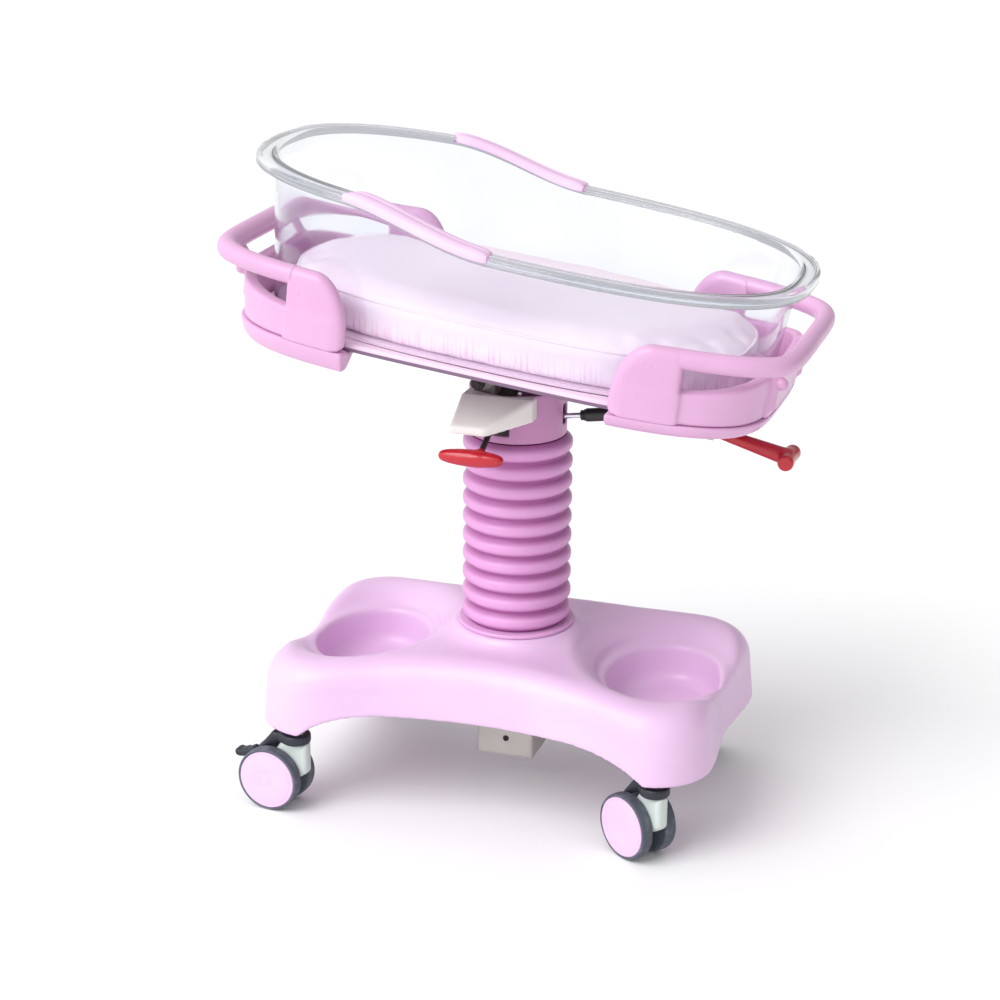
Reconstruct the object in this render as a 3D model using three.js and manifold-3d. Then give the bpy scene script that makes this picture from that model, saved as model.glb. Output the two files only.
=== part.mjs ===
// Hospital bassinet: a clear tub on a tilting deck, carried by a height-adjustable column
// on a moulded base with four twin-wheel casters. Millimetres, +Z up, +X towards the foot end.
// The near side, with the height lever, is -Y.
import * as THREE from 'three';
import { mergeVertices } from 'three/addons/utils/BufferGeometryUtils.js';
import Module from 'manifold-3d';

const wasm = await Module();
wasm.setup();

// Clearances
const SEAT_GAP = 0.3;
const RUN_GAP = 0.4;
const SWING_GAP = 4.5;

// Casters
const WHEEL_RADIUS = 50;
const TYRE_DEPTH = 5;
const WHEEL_WIDTH = 19;
const WHEEL_SIDE_GAP = 1.5;
const TYRE_CHAMFER = 2.5;
const DISC_BULGE = 2;
const AXLE_RADIUS = 5;
const FORK_WIDTH = 22;
const FORK_EYE_RADIUS = 16;
const FORK_BELLY = 14;
const FORK_CHIN = 5;
const CASTER_TRAIL = 35;
const CASTER_RISE = 22;
const CASTER_SPACING_X = 552;
const BASE_SHIFT_X = -6.5;
const CASTER_SPACING_Y = 382;
const COLLAR_RADIUS = 22;
const COLLAR_HEIGHT = 15;
const STEM_RADIUS = 5.5;
const STEM_LENGTH = 20;
const FENDER_WIDTH = 22;
const FENDER_SHOULDER = 37;
const FENDER_DROP = 2;
const FENDER_REACH = 62;
const FENDER_FALL = 33;
const FENDER_TIP_LENGTH = 14;
const PEDAL_PIVOT_X = 65;
const PEDAL_PIVOT_DROP = 40;
const PEDAL_SLOPE = 16;
const PEDAL_LENGTH = 38;
const PEDAL_WIDTH = 22;
const PEDAL_THICKNESS = 14;
const PEDAL_CHAMFER = 5;
const PEDAL_GAP = 1;

// Base frame and moulded base cover
const FRAME_TUBE_WIDTH = 26;
const FRAME_TUBE_HEIGHT = 28;
const FRAME_TUBE_WALL = 3;
const CROSSBAR_OVERHANG = 7;
const SPINE_WIDTH = 60;
const FOOT_BOX_LENGTH = 90;
const FOOT_BOX_WIDTH = 106;
const FOOT_BOX_HEIGHT = 58;
const FOOT_BOX_WALL = 4;
const COVER_END_MARGIN = 60;
const LOBE_END_MARGIN = 67;
const LOBE_SIDE_MARGIN = 28;
const LOBE_SETBACK_X = 11;
const LOBE_SETBACK_Y = 41;
const LOBE_BOW = 12;
const WAIST_INSET = 41;
const WAIST_FULLNESS = 0.32;
const COVER_WALL = 4;
const COVER_SKIRT_RISE = 5;
const SKIRT_ARCH = 40;
const SKIRT_ARCH_POWER = 6;
const CREST_ARCH = 20;
const COVER_SHOULDER_RADIUS = 46;
const COVER_DRAFT = 6;
const POCKET_SETBACK = 46;
const POCKET_HALF_LENGTH = 83;
const POCKET_HALF_WIDTH = 110;
const POCKET_DEPTH = 58;
const POCKET_DRAFT = 7;
const DISH_MARGIN = 38;
const DISH_DRAFT = 9;
const DISH_DEPTH = 23;
const MOUND_RISE = 34;
const MOUND_MARGIN = 3;
const MOUND_SHARES = [0.45, 0.75, 0.9, 1];
const MOUND_STEEPNESS = 5;
const COLUMN_HOLE_GAP = 8;

// Column
const OUTER_TUBE_RADIUS = 46;
const OUTER_TUBE_WALL = 4;
const OUTER_TUBE_LENGTH = 314;
const TUBE_FLANGE_WIDTH = 24;
const TUBE_FLANGE_THICKNESS = 8;
const INNER_TUBE_WALL = 4;
const INNER_TUBE_LENGTH = 312;
const BUSH_LENGTH = 30;
const BUSH_THICKNESS = 3.3;
const LIFT_CYLINDER_RADIUS = 14;
const LIFT_CYLINDER_LENGTH = 310;
const LIFT_CYLINDER_WALL = 5;
const LIFT_CYLINDER_FLOOR = 15;
const LIFT_ROD_RADIUS = 5;
const VALVE_GAP = 14;
const RING_HEIGHT = 6;
const RING_OVERHANG = 6;
const BELLOWS_LENGTH = 290;
const BELLOWS_OVERHANG = 9;
const BELLOWS_VALLEY = 7;
const BELLOWS_WALL = 3;
const BELLOWS_RIBS = 10;
const RIB_START = 0.25;
const RIB_END = 0.7;
const SLEEVE_RADIUS = 72;
const SLEEVE_WALL = 3.5;
const SLEEVE_LENGTH = 74;

// Lift head
const HEAD_PLATE_RISE = 4;
const HEAD_PLATE_THICKNESS = 8;
const EAR_THICKNESS = 6;
const EAR_SPREAD = 36;
const EAR_WIDTH = 28;
const EAR_RADIUS = 15;
const PIVOT_OFFSET = -38;
const PIVOT_RISE = 15;
const PIN_RADIUS = 7;
const PIN_HALF_LENGTH = 72;
const PIN_HEAD_RADIUS = 10;
const PIN_HEAD_THICKNESS = 6;
const LEVER_COVER_HEAD_X = -62;
const LEVER_COVER_FOOT_X = 46;
const LEVER_COVER_DROP = 34;
const LEVER_COVER_REACH = 62;
const LEVER_COVER_WALL = 3;
const LEVER_LIP_FOOT_X = -8;
const LEVER_LIP_HEIGHT = 11;
const LEVER_LIP_DROP = 45;

// Height lever
const LEVER_X = -12;
const LEVER_PIVOT_OUT = 16;
const LEVER_PIVOT_DROP = 43;
const LEVER_PIN_RADIUS = 3;
const LEVER_PIN_LENGTH = 40;
const LEVER_HUB_RADIUS = 8;
const LEVER_HUB_LENGTH = 20;
const LEVER_STEM_RADIUS = 4.5;
const LEVER_STEM_REACH = 62;
const LEVER_STEM_DROP = 29;
const LEVER_TONGUE_RISE = 46;
const LEVER_TONGUE_WIDTH = 26;
const LEVER_TONGUE_SHIFT = 4;
const LEVER_TONGUE_THICKNESS = 6;
const LEVER_BAR_LENGTH = 97;
const LEVER_BAR_RADIUS = 10;
const LEVER_BAR_TIP_RADIUS = 6;
const LEVER_BAR_SHIFT = -11;
const LEVER_BAR_WAIST = 0.35;
const LEVER_SOCKET_DEPTH = 6;

// Tilt gas spring
const SPRING_DROP = 62;
const SPRING_LUG_X = 50;
const SPRING_LUG_LENGTH = 20;
const SPRING_LUG_FOOT = 4;
const SPRING_WINDOW_DROP = 8;
const SPRING_WINDOW_RISE = 22;
const SPRING_CHEEK_THICKNESS = 4;
const SPRING_EYE_RADIUS = 8;
const SPRING_EYE_WIDTH = 12;
const SPRING_PIN_RADIUS = 4;
const SPRING_ROD_RADIUS = 4;
const SPRING_ROD_LENGTH = 122;
const SPRING_ROD_SHOWN = 46;
const SPRING_BODY_RADIUS = 10;
const SPRING_BODY_WALL = 4;
const SPRING_BORE_LENGTH = 90;
const SPRING_FORK_EYE_RADIUS = 14;

// Deck
const DECK_TILT = 7;
const DECK_CENTRE = 34;
const TRAY_RISE = 48;
const TRAY_THICKNESS = 12;
const TRAY_END_MARGIN = 8;
const TRAY_SIDE_INSET = 1;
const TRAY_EDGE_GAP = 2;
const HINGE_PLATE_LENGTH = 80;
const HINGE_PLATE_WIDTH = 130;
const HINGE_PLATE_THICKNESS = 6;
const HINGE_LUG_THICKNESS = 8;
const HINGE_LUG_WIDTH = 44;
const HINGE_LUG_RADIUS = 16;
const HINGE_SIDE_GAP = 1.3;

// End housings, chins and handles
const HOUSING_END_GAP = 6;
const HOUSING_SIDE_GAP = 5;
const HOUSING_END_THICKNESS = 20;
const HOUSING_SIDE_THICKNESS = 29;
const HOUSING_DRAFT = 7;
const HOUSING_WALL = 4;
const HOUSING_PANEL_HEIGHT = 60;
const HOUSING_BLOCK_HEIGHT = 107;
const HOUSING_BLOCK_REACH = 210;
const HOUSING_SLOT_REACH = 115;
const HOUSING_CORNER_LENGTH = 55;
const HOUSING_CORNER_HEIGHT = 85;
const HOUSING_CORNER_SHARES = [0, 0.06, 0.15, 0.3, 0.5, 1];
const HOUSING_POST_RADIUS = 9;
const HOUSING_POST_ANGLE = 22;
const POST_SHARE = 0.3;
const POST_LEAN = 23;
const PANEL_END_RISE = 7;
const PANEL_SIDE_FALL = 14;
const HEAD_CHIN_HEIGHT = 30;
const FOOT_CHIN_HEIGHT = 20;
const CHIN_SETBACK = 10;
const CHIN_LEDGE = 28;
const CHIN_LEDGE_THICKNESS = 5;
const HANDLE_RADIUS = 14;
const HANDLE_REACH = 32;
const HANDLE_INSET = 20;
const HANDLE_FLAT = 14;
const HANDLE_BLEND = 24;

// Tilt lever and its bracket
const BRACKET_GAP = 40;
const BRACKET_INSET = 16;
const BRACKET_DROP = 26;
const TILT_LEVER_AHEAD = 42;
const TILT_LEVER_DROP = 16;
const TILT_LEVER_SLOPE = 7.6;
const TILT_LEVER_REACH = 126;
const TILT_NOSE_LENGTH = 24;
const TILT_STEM_RADIUS = 7;
const TILT_BAR_LENGTH = 62;
const TILT_BAR_RADIUS = 11;

// Tub, rim grips and mattress
const RIM_HALF_LENGTH = 408;
const RIM_HALF_WIDTH = 246;
const RIM_EXPONENT = 2.71;
const RIM_FLANGE = 25;
const RIM_LIP_DROP = 14;
const RIM_EDGE = 3;
const TUB_DEPTH = 177;
const TUB_DRAFT = 17;
const TUB_WALL = 4;
const TUB_CORNER_RADIUS = 12;
const HEAD_RISE = 36;
const RIM_FALL = 1.2;
const SLOPE_HEAD_X = -212;
const SLOPE_FOOT_X = 8;
const GRIP_HEAD_X = -255;
const GRIP_FOOT_X = 20;
const GRIP_THICKNESS = 5;
const GRIP_LIP = 9;
const GRIP_GAP = 0.6;
const MATTRESS_END_GAP = 5;
const MATTRESS_SIDE_GAP = 3;
const MATTRESS_EDGE_HEIGHT = 62;
const MATTRESS_CROWN = 12;
const MATTRESS_SIDES = [[14, 0], [6, 0.25], [3, 0.5], [0, 0.75], [5, 1]];
const MATTRESS_CROWNS = [[0.9, 0.6], [0.6, 0.9], [0.25, 1]];
const MATTRESS_WAIST = 4;

// Facet counts and plan exponents
const WHEEL_FACETS = 20;
const ROUND_FACETS = 20;
const SMALL_FACETS = 12;
const BELLOWS_FACETS = 22;
const COVER_FACETS = 52;
const HOLLOW_STRIDE = 2;
const POCKET_FACETS = 26;
const OVAL_FACETS = 48;
const HOUSING_STEPS = 16;
const HANDLE_FACETS = 5;
const ARC_FACETS = 6;
const HANDLE_STEPS = 22;
const SHOULDER_STEPS = 3;
const HOUSING_EXPONENT = 4;

// Levels worked out from the sizes above
const degrees = THREE.MathUtils.degToRad;
const casterX = CASTER_SPACING_X / 2;
const casterY = CASTER_SPACING_Y / 2;
const wheelFlatRadius = WHEEL_RADIUS * Math.cos(Math.PI / WHEEL_FACETS);
const axleLevel = wheelFlatRadius;
const casterLevel = axleLevel + WHEEL_RADIUS + CASTER_RISE;
const frameBottom = casterLevel + SEAT_GAP;
const frameTop = frameBottom + FRAME_TUBE_HEIGHT;
const pocketBottom = frameTop + SEAT_GAP;
const pocketFloor = pocketBottom + COVER_WALL;
const pocketRim = pocketFloor + POCKET_DEPTH;
const coverCrest = pocketRim + DISH_DEPTH;
const moundTop = coverCrest + MOUND_RISE;
const ringBottom = moundTop + SEAT_GAP;
const bellowsBottom = ringBottom + RING_HEIGHT + SEAT_GAP;
const bellowsTop = bellowsBottom + BELLOWS_LENGTH;
const sleeveBottom = bellowsTop + SEAT_GAP;
const sleeveTop = sleeveBottom + SLEEVE_LENGTH;
const headPlateBottom = sleeveBottom + HEAD_PLATE_RISE;
const headPlateTop = headPlateBottom + HEAD_PLATE_THICKNESS;
const pivotLevel = sleeveTop + PIVOT_RISE;
const bellowsRadius = SLEEVE_RADIUS + BELLOWS_OVERHANG;
const ringRadius = bellowsRadius + RING_OVERHANG;
const moundRadius = ringRadius + MOUND_MARGIN;
const footBoxTop = frameBottom - SEAT_GAP;
const footBoxBottom = footBoxTop - FOOT_BOX_HEIGHT;
const liftCylinderBottom = footBoxBottom + FOOT_BOX_WALL + SEAT_GAP;
const trayTop = TRAY_RISE + TRAY_THICKNESS;
const tubBottom = trayTop + SEAT_GAP;
const rimLevel = tubBottom + TUB_DEPTH;
const chinTop = TRAY_RISE + SEAT_GAP + CHIN_LEDGE_THICKNESS / 2;
const housingBottom = chinTop + SEAT_GAP;
const panelTop = housingBottom + HOUSING_PANEL_HEIGHT;
const blockTop = housingBottom + HOUSING_BLOCK_HEIGHT;
const handleLevel = blockTop - HANDLE_RADIUS;
const springLevel = pivotLevel - SPRING_DROP;
const tubFootLength = RIM_HALF_LENGTH - RIM_FLANGE - TUB_DRAFT;
const tubFootWidth = RIM_HALF_WIDTH - RIM_FLANGE - TUB_DRAFT;
const mattressHalfLength = tubFootLength - TUB_WALL - MATTRESS_END_GAP;
const mattressHalfWidth = tubFootWidth - TUB_WALL - MATTRESS_SIDE_GAP;
const trayHalfLength = tubFootLength + TRAY_END_MARGIN;
const trayHalfWidth = tubFootWidth - TRAY_SIDE_INSET;
const housingHalfLength = trayHalfLength + HOUSING_END_GAP + HOUSING_END_THICKNESS;
const housingHalfWidth = trayHalfWidth + HOUSING_SIDE_GAP + HOUSING_SIDE_THICKNESS;
const blockStart = housingHalfLength - HOUSING_BLOCK_REACH;
const slotStart = housingHalfLength - HOUSING_SLOT_REACH;
const handleHalfLength = housingHalfLength + HANDLE_REACH;
const handleHalfWidth = housingHalfWidth - HANDLE_INSET;
const bracketEnd = DECK_CENTRE + trayHalfLength - CHIN_LEDGE - BRACKET_GAP;
const tiltLeverX = bracketEnd - BRACKET_INSET;
const springAnchorFar = tiltLeverX - TILT_LEVER_AHEAD;

// Finishes
function finish(color, roughness, metalness = 0, opacity = 1) {
  return new THREE.MeshStandardMaterial({
    color,
    roughness,
    metalness,
    opacity,
    transparent: opacity < 1,
  });
}

const pinkShell = finish('#eec3ee', 0.4);
const pinkRubber = finish('#e9a9e2', 0.55);
const paleFabric = finish('#f1e3f5', 0.85);
const clearPlastic = finish('#eef1f6', 0.1, 0, 0.35);
const redPlastic = finish('#d22a3a', 0.35);
const beigePlastic = finish('#cfc8c0', 0.5);
const paintedSteel = finish('#b9b5b2', 0.45, 0.6);
const trayGrey = finish('#8c7a8e', 0.5, 0.2);
const darkSteel = finish('#3a3236', 0.4, 0.8);
const chrome = finish('#d8dadd', 0.15, 1);
const blackPaint = finish('#1c1c1f', 0.45, 0.3);
const casterGrey = finish('#4a4c58', 0.5);
const tyreGrey = finish('#70707f', 0.7);
const forkWhite = finish('#d9dedd', 0.45);

// Closed-mesh helpers
function tidy(source) {
  const bare = source.clone();
  bare.deleteAttribute('normal');
  bare.deleteAttribute('uv');
  const merged = mergeVertices(bare);
  const corners = merged.index.array;
  const kept = [];
  for (let i = 0; i < corners.length; i += 3) {
    const [a, b, c] = [corners[i], corners[i + 1], corners[i + 2]];
    if (a !== b && b !== c && c !== a) {
      kept.push(a, b, c);
    }
  }
  merged.setIndex(kept);
  return merged;
}

function toSolid(geometry) {
  const closed = tidy(geometry);
  return new wasm.Manifold(new wasm.Mesh({
    numProp: 3,
    vertProperties: new Float32Array(closed.attributes.position.array),
    triVerts: new Uint32Array(closed.index.array),
  }));
}

function toGeometry(solid) {
  const mesh = solid.getMesh();
  const geometry = new THREE.BufferGeometry();
  geometry.setAttribute('position', new THREE.BufferAttribute(new Float32Array(mesh.vertProperties), 3));
  geometry.setIndex(Array.from(mesh.triVerts));
  return geometry;
}

function join(...geometries) {
  return toGeometry(geometries.map(toSolid).reduce((whole, piece) => whole.add(piece)));
}

function cut(geometry, ...tools) {
  return toGeometry(tools.map(toSolid).reduce((whole, tool) => whole.subtract(tool), toSolid(geometry)));
}

function signedVolume(points, corners) {
  let sum = 0;
  for (let i = 0; i < corners.length; i += 3) {
    const [a, b, c] = [points[corners[i]], points[corners[i + 1]], points[corners[i + 2]]];
    sum += a.dot(b.clone().cross(c));
  }
  return sum;
}

function capTriangles(ring, forward) {
  const normal = new THREE.Vector3();
  ring.forEach((point, i) => normal.add(point.clone().cross(ring[(i + 1) % ring.length])));
  const turn = new THREE.Quaternion().setFromUnitVectors(normal.normalize(), new THREE.Vector3(0, 0, 1));
  const flat = ring.map((point) => {
    const turned = point.clone().applyQuaternion(turn);
    return new THREE.Vector2(turned.x, turned.y);
  });
  return THREE.ShapeUtils.triangulateShape(flat, []).map(([a, b, c]) => {
    const area = flat[b].clone().sub(flat[a]).cross(flat[c].clone().sub(flat[a]));
    return (area > 0) === forward ? [a, b, c] : [a, c, b];
  });
}

// A closed body skinned over rings of points, each ring with as many points as the next.
function loft(rings) {
  const count = rings[0].length;
  const points = rings.flat();
  let corners = [];
  for (let i = 0; i < rings.length - 1; i += 1) {
    for (let j = 0; j < count; j += 1) {
      const next = (j + 1) % count;
      const [a, b] = [i * count + j, i * count + next];
      const [c, d] = [b + count, a + count];
      corners.push(a, b, c, a, c, d);
    }
  }
  const last = (rings.length - 1) * count;
  capTriangles(rings[0], false).forEach((face) => corners.push(...face));
  capTriangles(rings.at(-1), true).forEach((face) => corners.push(...face.map((k) => k + last)));
  if (signedVolume(points, corners) < 0) {
    corners = corners.reverse();
  }
  const geometry = new THREE.BufferGeometry().setFromPoints(points);
  geometry.setIndex(corners);
  return geometry;
}

// Simple shapes along each axis. Round pieces all face a flat the same way, so that they nest.
function latheAlongY(profile, facets) {
  const points = profile.map(([radius, level]) => new THREE.Vector2(radius, level));
  return new THREE.LatheGeometry(points, facets).rotateY(Math.PI / facets);
}

function latheAlongZ(profile, facets) {
  return latheAlongY(profile, facets).rotateX(Math.PI / 2);
}

function rod(radius, from, to, facets) {
  return latheAlongY([[0, from], [radius, from], [radius, to], [0, to]], facets);
}

function rodAlongZ(radius, bottom, top, facets = SMALL_FACETS) {
  return rod(radius, bottom, top, facets).rotateX(Math.PI / 2);
}

function rodAlongY(radius, from, to, x, z, facets = SMALL_FACETS) {
  return rod(radius, from, to, facets).translate(x, 0, z);
}

function rodAlongX(radius, from, to, y, z, facets = SMALL_FACETS) {
  return rod(radius, -to, -from, facets).rotateZ(Math.PI / 2).translate(0, y, z);
}

function box(low, high) {
  const size = high.map((value, i) => value - low[i]);
  const middle = high.map((value, i) => (value + low[i]) / 2);
  return new THREE.BoxGeometry(...size).translate(...middle);
}

function ringAlongZ(inner, outer, bottom, top, facets = ROUND_FACETS) {
  return latheAlongZ([[inner, bottom], [outer, bottom], [outer, top], [inner, top], [inner, bottom]], facets);
}

// An outline in X and Z, given its width along Y and centred on it.
function plateAcross(shape, width) {
  const options = { depth: width, bevelEnabled: false, curveSegments: ARC_FACETS };
  return new THREE.ExtrudeGeometry(shape, options).rotateX(Math.PI / 2).translate(0, width / 2, 0);
}

function outline(points) {
  return new THREE.Shape(points.map(([x, y]) => new THREE.Vector2(x, y)));
}

// A point of a rounded oval, at an angle measured in the oval's own stretched plan.
function ovalPoint(halfLength, halfWidth, exponent, angle, level) {
  const [c, s] = [Math.cos(angle), Math.sin(angle)];
  const reach = (Math.abs(c) ** exponent + Math.abs(s) ** exponent) ** (-1 / exponent);
  return new THREE.Vector3(halfLength * reach * c, halfWidth * reach * s, level);
}

function ovalAngles() {
  return Array.from({ length: OVAL_FACETS }, (_, j) => (2 * Math.PI * j) / OVAL_FACETS);
}

// The stretched-plan angle at which an oval passes a given distance along its length.
function ovalAngleAt(distance, halfLength, exponent) {
  const along = distance / halfLength;
  const across = (1 - along ** exponent) ** (1 / exponent);
  return Math.atan2(across, along);
}

function place(group, name, geometry, material) {
  const mesh = new THREE.Mesh(tidy(geometry), material);
  mesh.name = name;
  group.add(mesh);
}

// Casters: hood with stem, fork, twin wheels on one axle, and a brake pedal on some
const wheelInner = FORK_WIDTH / 2 + WHEEL_SIDE_GAP;
const wheelOuter = wheelInner + WHEEL_WIDTH;
const discRadius = WHEEL_RADIUS - TYRE_DEPTH;
const collarBottom = casterLevel - COLLAR_HEIGHT;
const fenderTip = casterLevel - FENDER_FALL;

function casterHood() {
  const collar = rodAlongZ(COLLAR_RADIUS, collarBottom, casterLevel, ROUND_FACETS);
  const stem = rodAlongZ(STEM_RADIUS, collarBottom, casterLevel + STEM_LENGTH);
  const fender = outline([
    [0, collarBottom],
    [COLLAR_RADIUS, collarBottom],
    [FENDER_REACH - FENDER_TIP_LENGTH, fenderTip],
    [FENDER_REACH, fenderTip],
    [FENDER_SHOULDER, casterLevel - FENDER_DROP],
    [0, casterLevel - FENDER_DROP],
  ]);
  return join(collar, stem, plateAcross(fender, FENDER_WIDTH));
}

function casterFork() {
  const shape = new THREE.Shape();
  shape.moveTo(-COLLAR_RADIUS, collarBottom - SEAT_GAP);
  shape.lineTo(-COLLAR_RADIUS, axleLevel + FORK_BELLY);
  const eyeBottom = axleLevel - FORK_EYE_RADIUS;
  shape.quadraticCurveTo(-COLLAR_RADIUS, axleLevel + FORK_CHIN, CASTER_TRAIL, eyeBottom);
  shape.absarc(CASTER_TRAIL, axleLevel, FORK_EYE_RADIUS, -Math.PI / 2, 0, false);
  shape.lineTo(CASTER_TRAIL + FORK_EYE_RADIUS, axleLevel + FORK_EYE_RADIUS);
  shape.lineTo(COLLAR_RADIUS, collarBottom - SEAT_GAP);
  const axleBore = rodAlongY(AXLE_RADIUS + RUN_GAP, -FORK_WIDTH, FORK_WIDTH, CASTER_TRAIL, axleLevel);
  return cut(plateAcross(shape, FORK_WIDTH), axleBore);
}

function casterHub() {
  const half = [
    [AXLE_RADIUS, wheelInner],
    [discRadius, wheelInner],
    [discRadius, wheelOuter],
    [discRadius - DISC_BULGE * 2, wheelOuter + DISC_BULGE],
    [0, wheelOuter + DISC_BULGE],
  ];
  const mirrored = half.map(([radius, level]) => [radius, -level]).reverse();
  return latheAlongY([...mirrored, ...half], WHEEL_FACETS).translate(CASTER_TRAIL, 0, axleLevel);
}

function casterTyre(side) {
  const [low, high] = [wheelInner, wheelOuter];
  const profile = [
    [discRadius + SEAT_GAP, low],
    [WHEEL_RADIUS - TYRE_CHAMFER, low],
    [WHEEL_RADIUS, low + TYRE_CHAMFER],
    [WHEEL_RADIUS, high - TYRE_CHAMFER],
    [WHEEL_RADIUS - TYRE_CHAMFER, high],
    [discRadius + SEAT_GAP, high],
    [discRadius + SEAT_GAP, low],
  ];
  const tyre = latheAlongY(profile, WHEEL_FACETS);
  if (side < 0) {
    tyre.rotateZ(Math.PI);
  }
  return tyre.translate(CASTER_TRAIL, 0, axleLevel);
}

function brakePedal() {
  const end = PEDAL_GAP + PEDAL_LENGTH;
  const top = PEDAL_THICKNESS / 2;
  const bottom = -top;
  const slab = outline([
    [PEDAL_GAP, bottom],
    [end - PEDAL_CHAMFER, bottom],
    [end, bottom + PEDAL_CHAMFER],
    [end, top - PEDAL_CHAMFER],
    [end - PEDAL_CHAMFER, top],
    [PEDAL_GAP + PEDAL_CHAMFER, top],
    [PEDAL_GAP, top - PEDAL_CHAMFER],
  ]);
  const pedal = plateAcross(slab, PEDAL_WIDTH);
  pedal.rotateY(degrees(PEDAL_SLOPE));
  return pedal.translate(PEDAL_PIVOT_X, 0, casterLevel - PEDAL_PIVOT_DROP);
}

const casters = [
  { name: 'head_near', end: -1, side: -1, heading: 174, braked: true },
  { name: 'foot_near', end: 1, side: -1, heading: 145, braked: false },
  { name: 'head_far', end: -1, side: 1, heading: 172, braked: false },
  { name: 'foot_far', end: 1, side: 1, heading: 186, braked: true },
];

function buildCaster({ name, end, side, heading, braked }) {
  const caster = new THREE.Group();
  caster.name = `${name}_caster`;
  caster.position.set(end * casterX + BASE_SHIFT_X, side * casterY, 0);
  caster.rotation.z = degrees(heading);
  place(caster, `${name}_caster_hood`, casterHood(), casterGrey);
  place(caster, `${name}_caster_fork`, casterFork(), forkWhite);
  place(caster, `${name}_caster_hub`, casterHub(), pinkShell);
  place(caster, `${name}_caster_tyre_a`, casterTyre(-1), tyreGrey);
  place(caster, `${name}_caster_tyre_b`, casterTyre(1), tyreGrey);
  if (braked) {
    place(caster, `${name}_brake_pedal`, brakePedal(), casterGrey);
  }
  return caster;
}

// Base frame: two crossbars, a spine and the box under the column
function squareTube(width, height, length) {
  const [x, z] = [width / 2, height / 2];
  const [boreX, boreZ] = [x - FRAME_TUBE_WALL, z - FRAME_TUBE_WALL];
  const section = outline([[-x, -z], [x, -z], [x, z], [-x, z]]);
  section.holes.push(outline([[-boreX, -boreZ], [-boreX, boreZ], [boreX, boreZ], [boreX, -boreZ]]));
  return plateAcross(section, length).translate(0, 0, frameBottom + z);
}

function buildFrame(base) {
  for (const [name, end] of [['head', -1], ['foot', 1]]) {
    const bar = squareTube(FRAME_TUBE_WIDTH, FRAME_TUBE_HEIGHT, CASTER_SPACING_Y + 2 * CROSSBAR_OVERHANG);
    const holeTop = frameTop - FRAME_TUBE_WALL / 2;
    const holes = [-casterY, casterY].map((y) => (
      rodAlongZ(STEM_RADIUS + RUN_GAP, frameBottom - SEAT_GAP, holeTop).translate(0, y, 0)
    ));
    const drilled = cut(bar, ...holes).translate(end * casterX + BASE_SHIFT_X, 0, 0);
    place(base, `frame_crossbar_${name}`, drilled, paintedSteel);
  }
  const spineLength = CASTER_SPACING_X - FRAME_TUBE_WIDTH - 2 * SEAT_GAP;
  const spine = squareTube(SPINE_WIDTH, FRAME_TUBE_HEIGHT, spineLength).rotateZ(Math.PI / 2);
  spine.translate(BASE_SHIFT_X, 0, 0);
  const springHole = rodAlongZ(LIFT_CYLINDER_RADIUS + RUN_GAP, footBoxBottom, moundTop, ROUND_FACETS);
  place(base, 'frame_spine', cut(spine, springHole), paintedSteel);
  const [x, y] = [FOOT_BOX_LENGTH / 2, FOOT_BOX_WIDTH / 2];
  const inner = FOOT_BOX_WALL;
  const hollow = box([inner - x, inner - y, footBoxBottom + inner], [x - inner, y - inner, frameTop]);
  const footBox = cut(box([-x, -y, footBoxBottom], [x, y, footBoxTop]), hollow);
  place(base, 'column_foot_box', footBox, paintedSteel);
}

// Moulded base cover: a waisted shell with lobes over the casters and two storage pockets
const coverLobeX = casterX - LOBE_SETBACK_X;
const coverLobeFront = casterY + LOBE_SIDE_MARGIN;
const coverWaist = coverLobeFront - WAIST_INSET;

function coverOutline() {
  const coverEnd = casterX + COVER_END_MARGIN;
  const lobeEnd = casterX + LOBE_END_MARGIN;
  const lobeY = casterY - LOBE_SETBACK_Y;
  const cornerX = (lobeEnd + coverLobeX) / 2 + LOBE_BOW;
  const cornerY = (lobeY + coverLobeFront) / 2 + LOBE_BOW;
  const quarter = [
    [coverEnd, 0],
    [lobeEnd, lobeY],
    [cornerX, cornerY],
    [coverLobeX, coverLobeFront],
    [coverLobeX / 2, coverWaist + WAIST_INSET * WAIST_FULLNESS],
    [0, coverWaist],
  ];
  const inner = quarter.slice(1, -1);
  const loop = [
    ...quarter,
    ...inner.map(([x, y]) => [-x, y]).reverse(),
    [-coverEnd, 0],
    ...inner.map(([x, y]) => [-x, -y]),
    [0, -coverWaist],
    ...inner.map(([x, y]) => [x, -y]).reverse(),
  ];
  const points = loop.map(([x, y]) => new THREE.Vector3(x + BASE_SHIFT_X, y, 0));
  const curve = new THREE.CatmullRomCurve3(points, true);
  return curve.getSpacedPoints(COVER_FACETS).slice(0, COVER_FACETS);
}

const coverEdge = coverOutline();

function coverInset(distance) {
  return coverEdge.map((point, i) => {
    const before = coverEdge[(i + COVER_FACETS - 1) % COVER_FACETS];
    const after = coverEdge[(i + 1) % COVER_FACETS];
    const inward = new THREE.Vector3(before.y - after.y, after.x - before.x, 0).normalize();
    return point.clone().addScaledVector(inward, distance);
  });
}

function raised(ring, levelAt) {
  return ring.map((point) => new THREE.Vector3(point.x, point.y, levelAt(point)));
}

// The crest arches up towards the waist, and the skirt's lower edge in a flatter arch.
function crestArch(x) {
  const towardsWaist = Math.max(0, 1 - Math.abs(x - BASE_SHIFT_X) / coverLobeX);
  return CREST_ARCH * Math.sin((towardsWaist * Math.PI) / 2);
}

function skirtLevel(point) {
  const towardsLobe = Math.min(1, Math.abs(point.x - BASE_SHIFT_X) / coverLobeX);
  return casterLevel + COVER_SKIRT_RISE + SKIRT_ARCH * (1 - towardsLobe ** SKIRT_ARCH_POWER);
}

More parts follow.
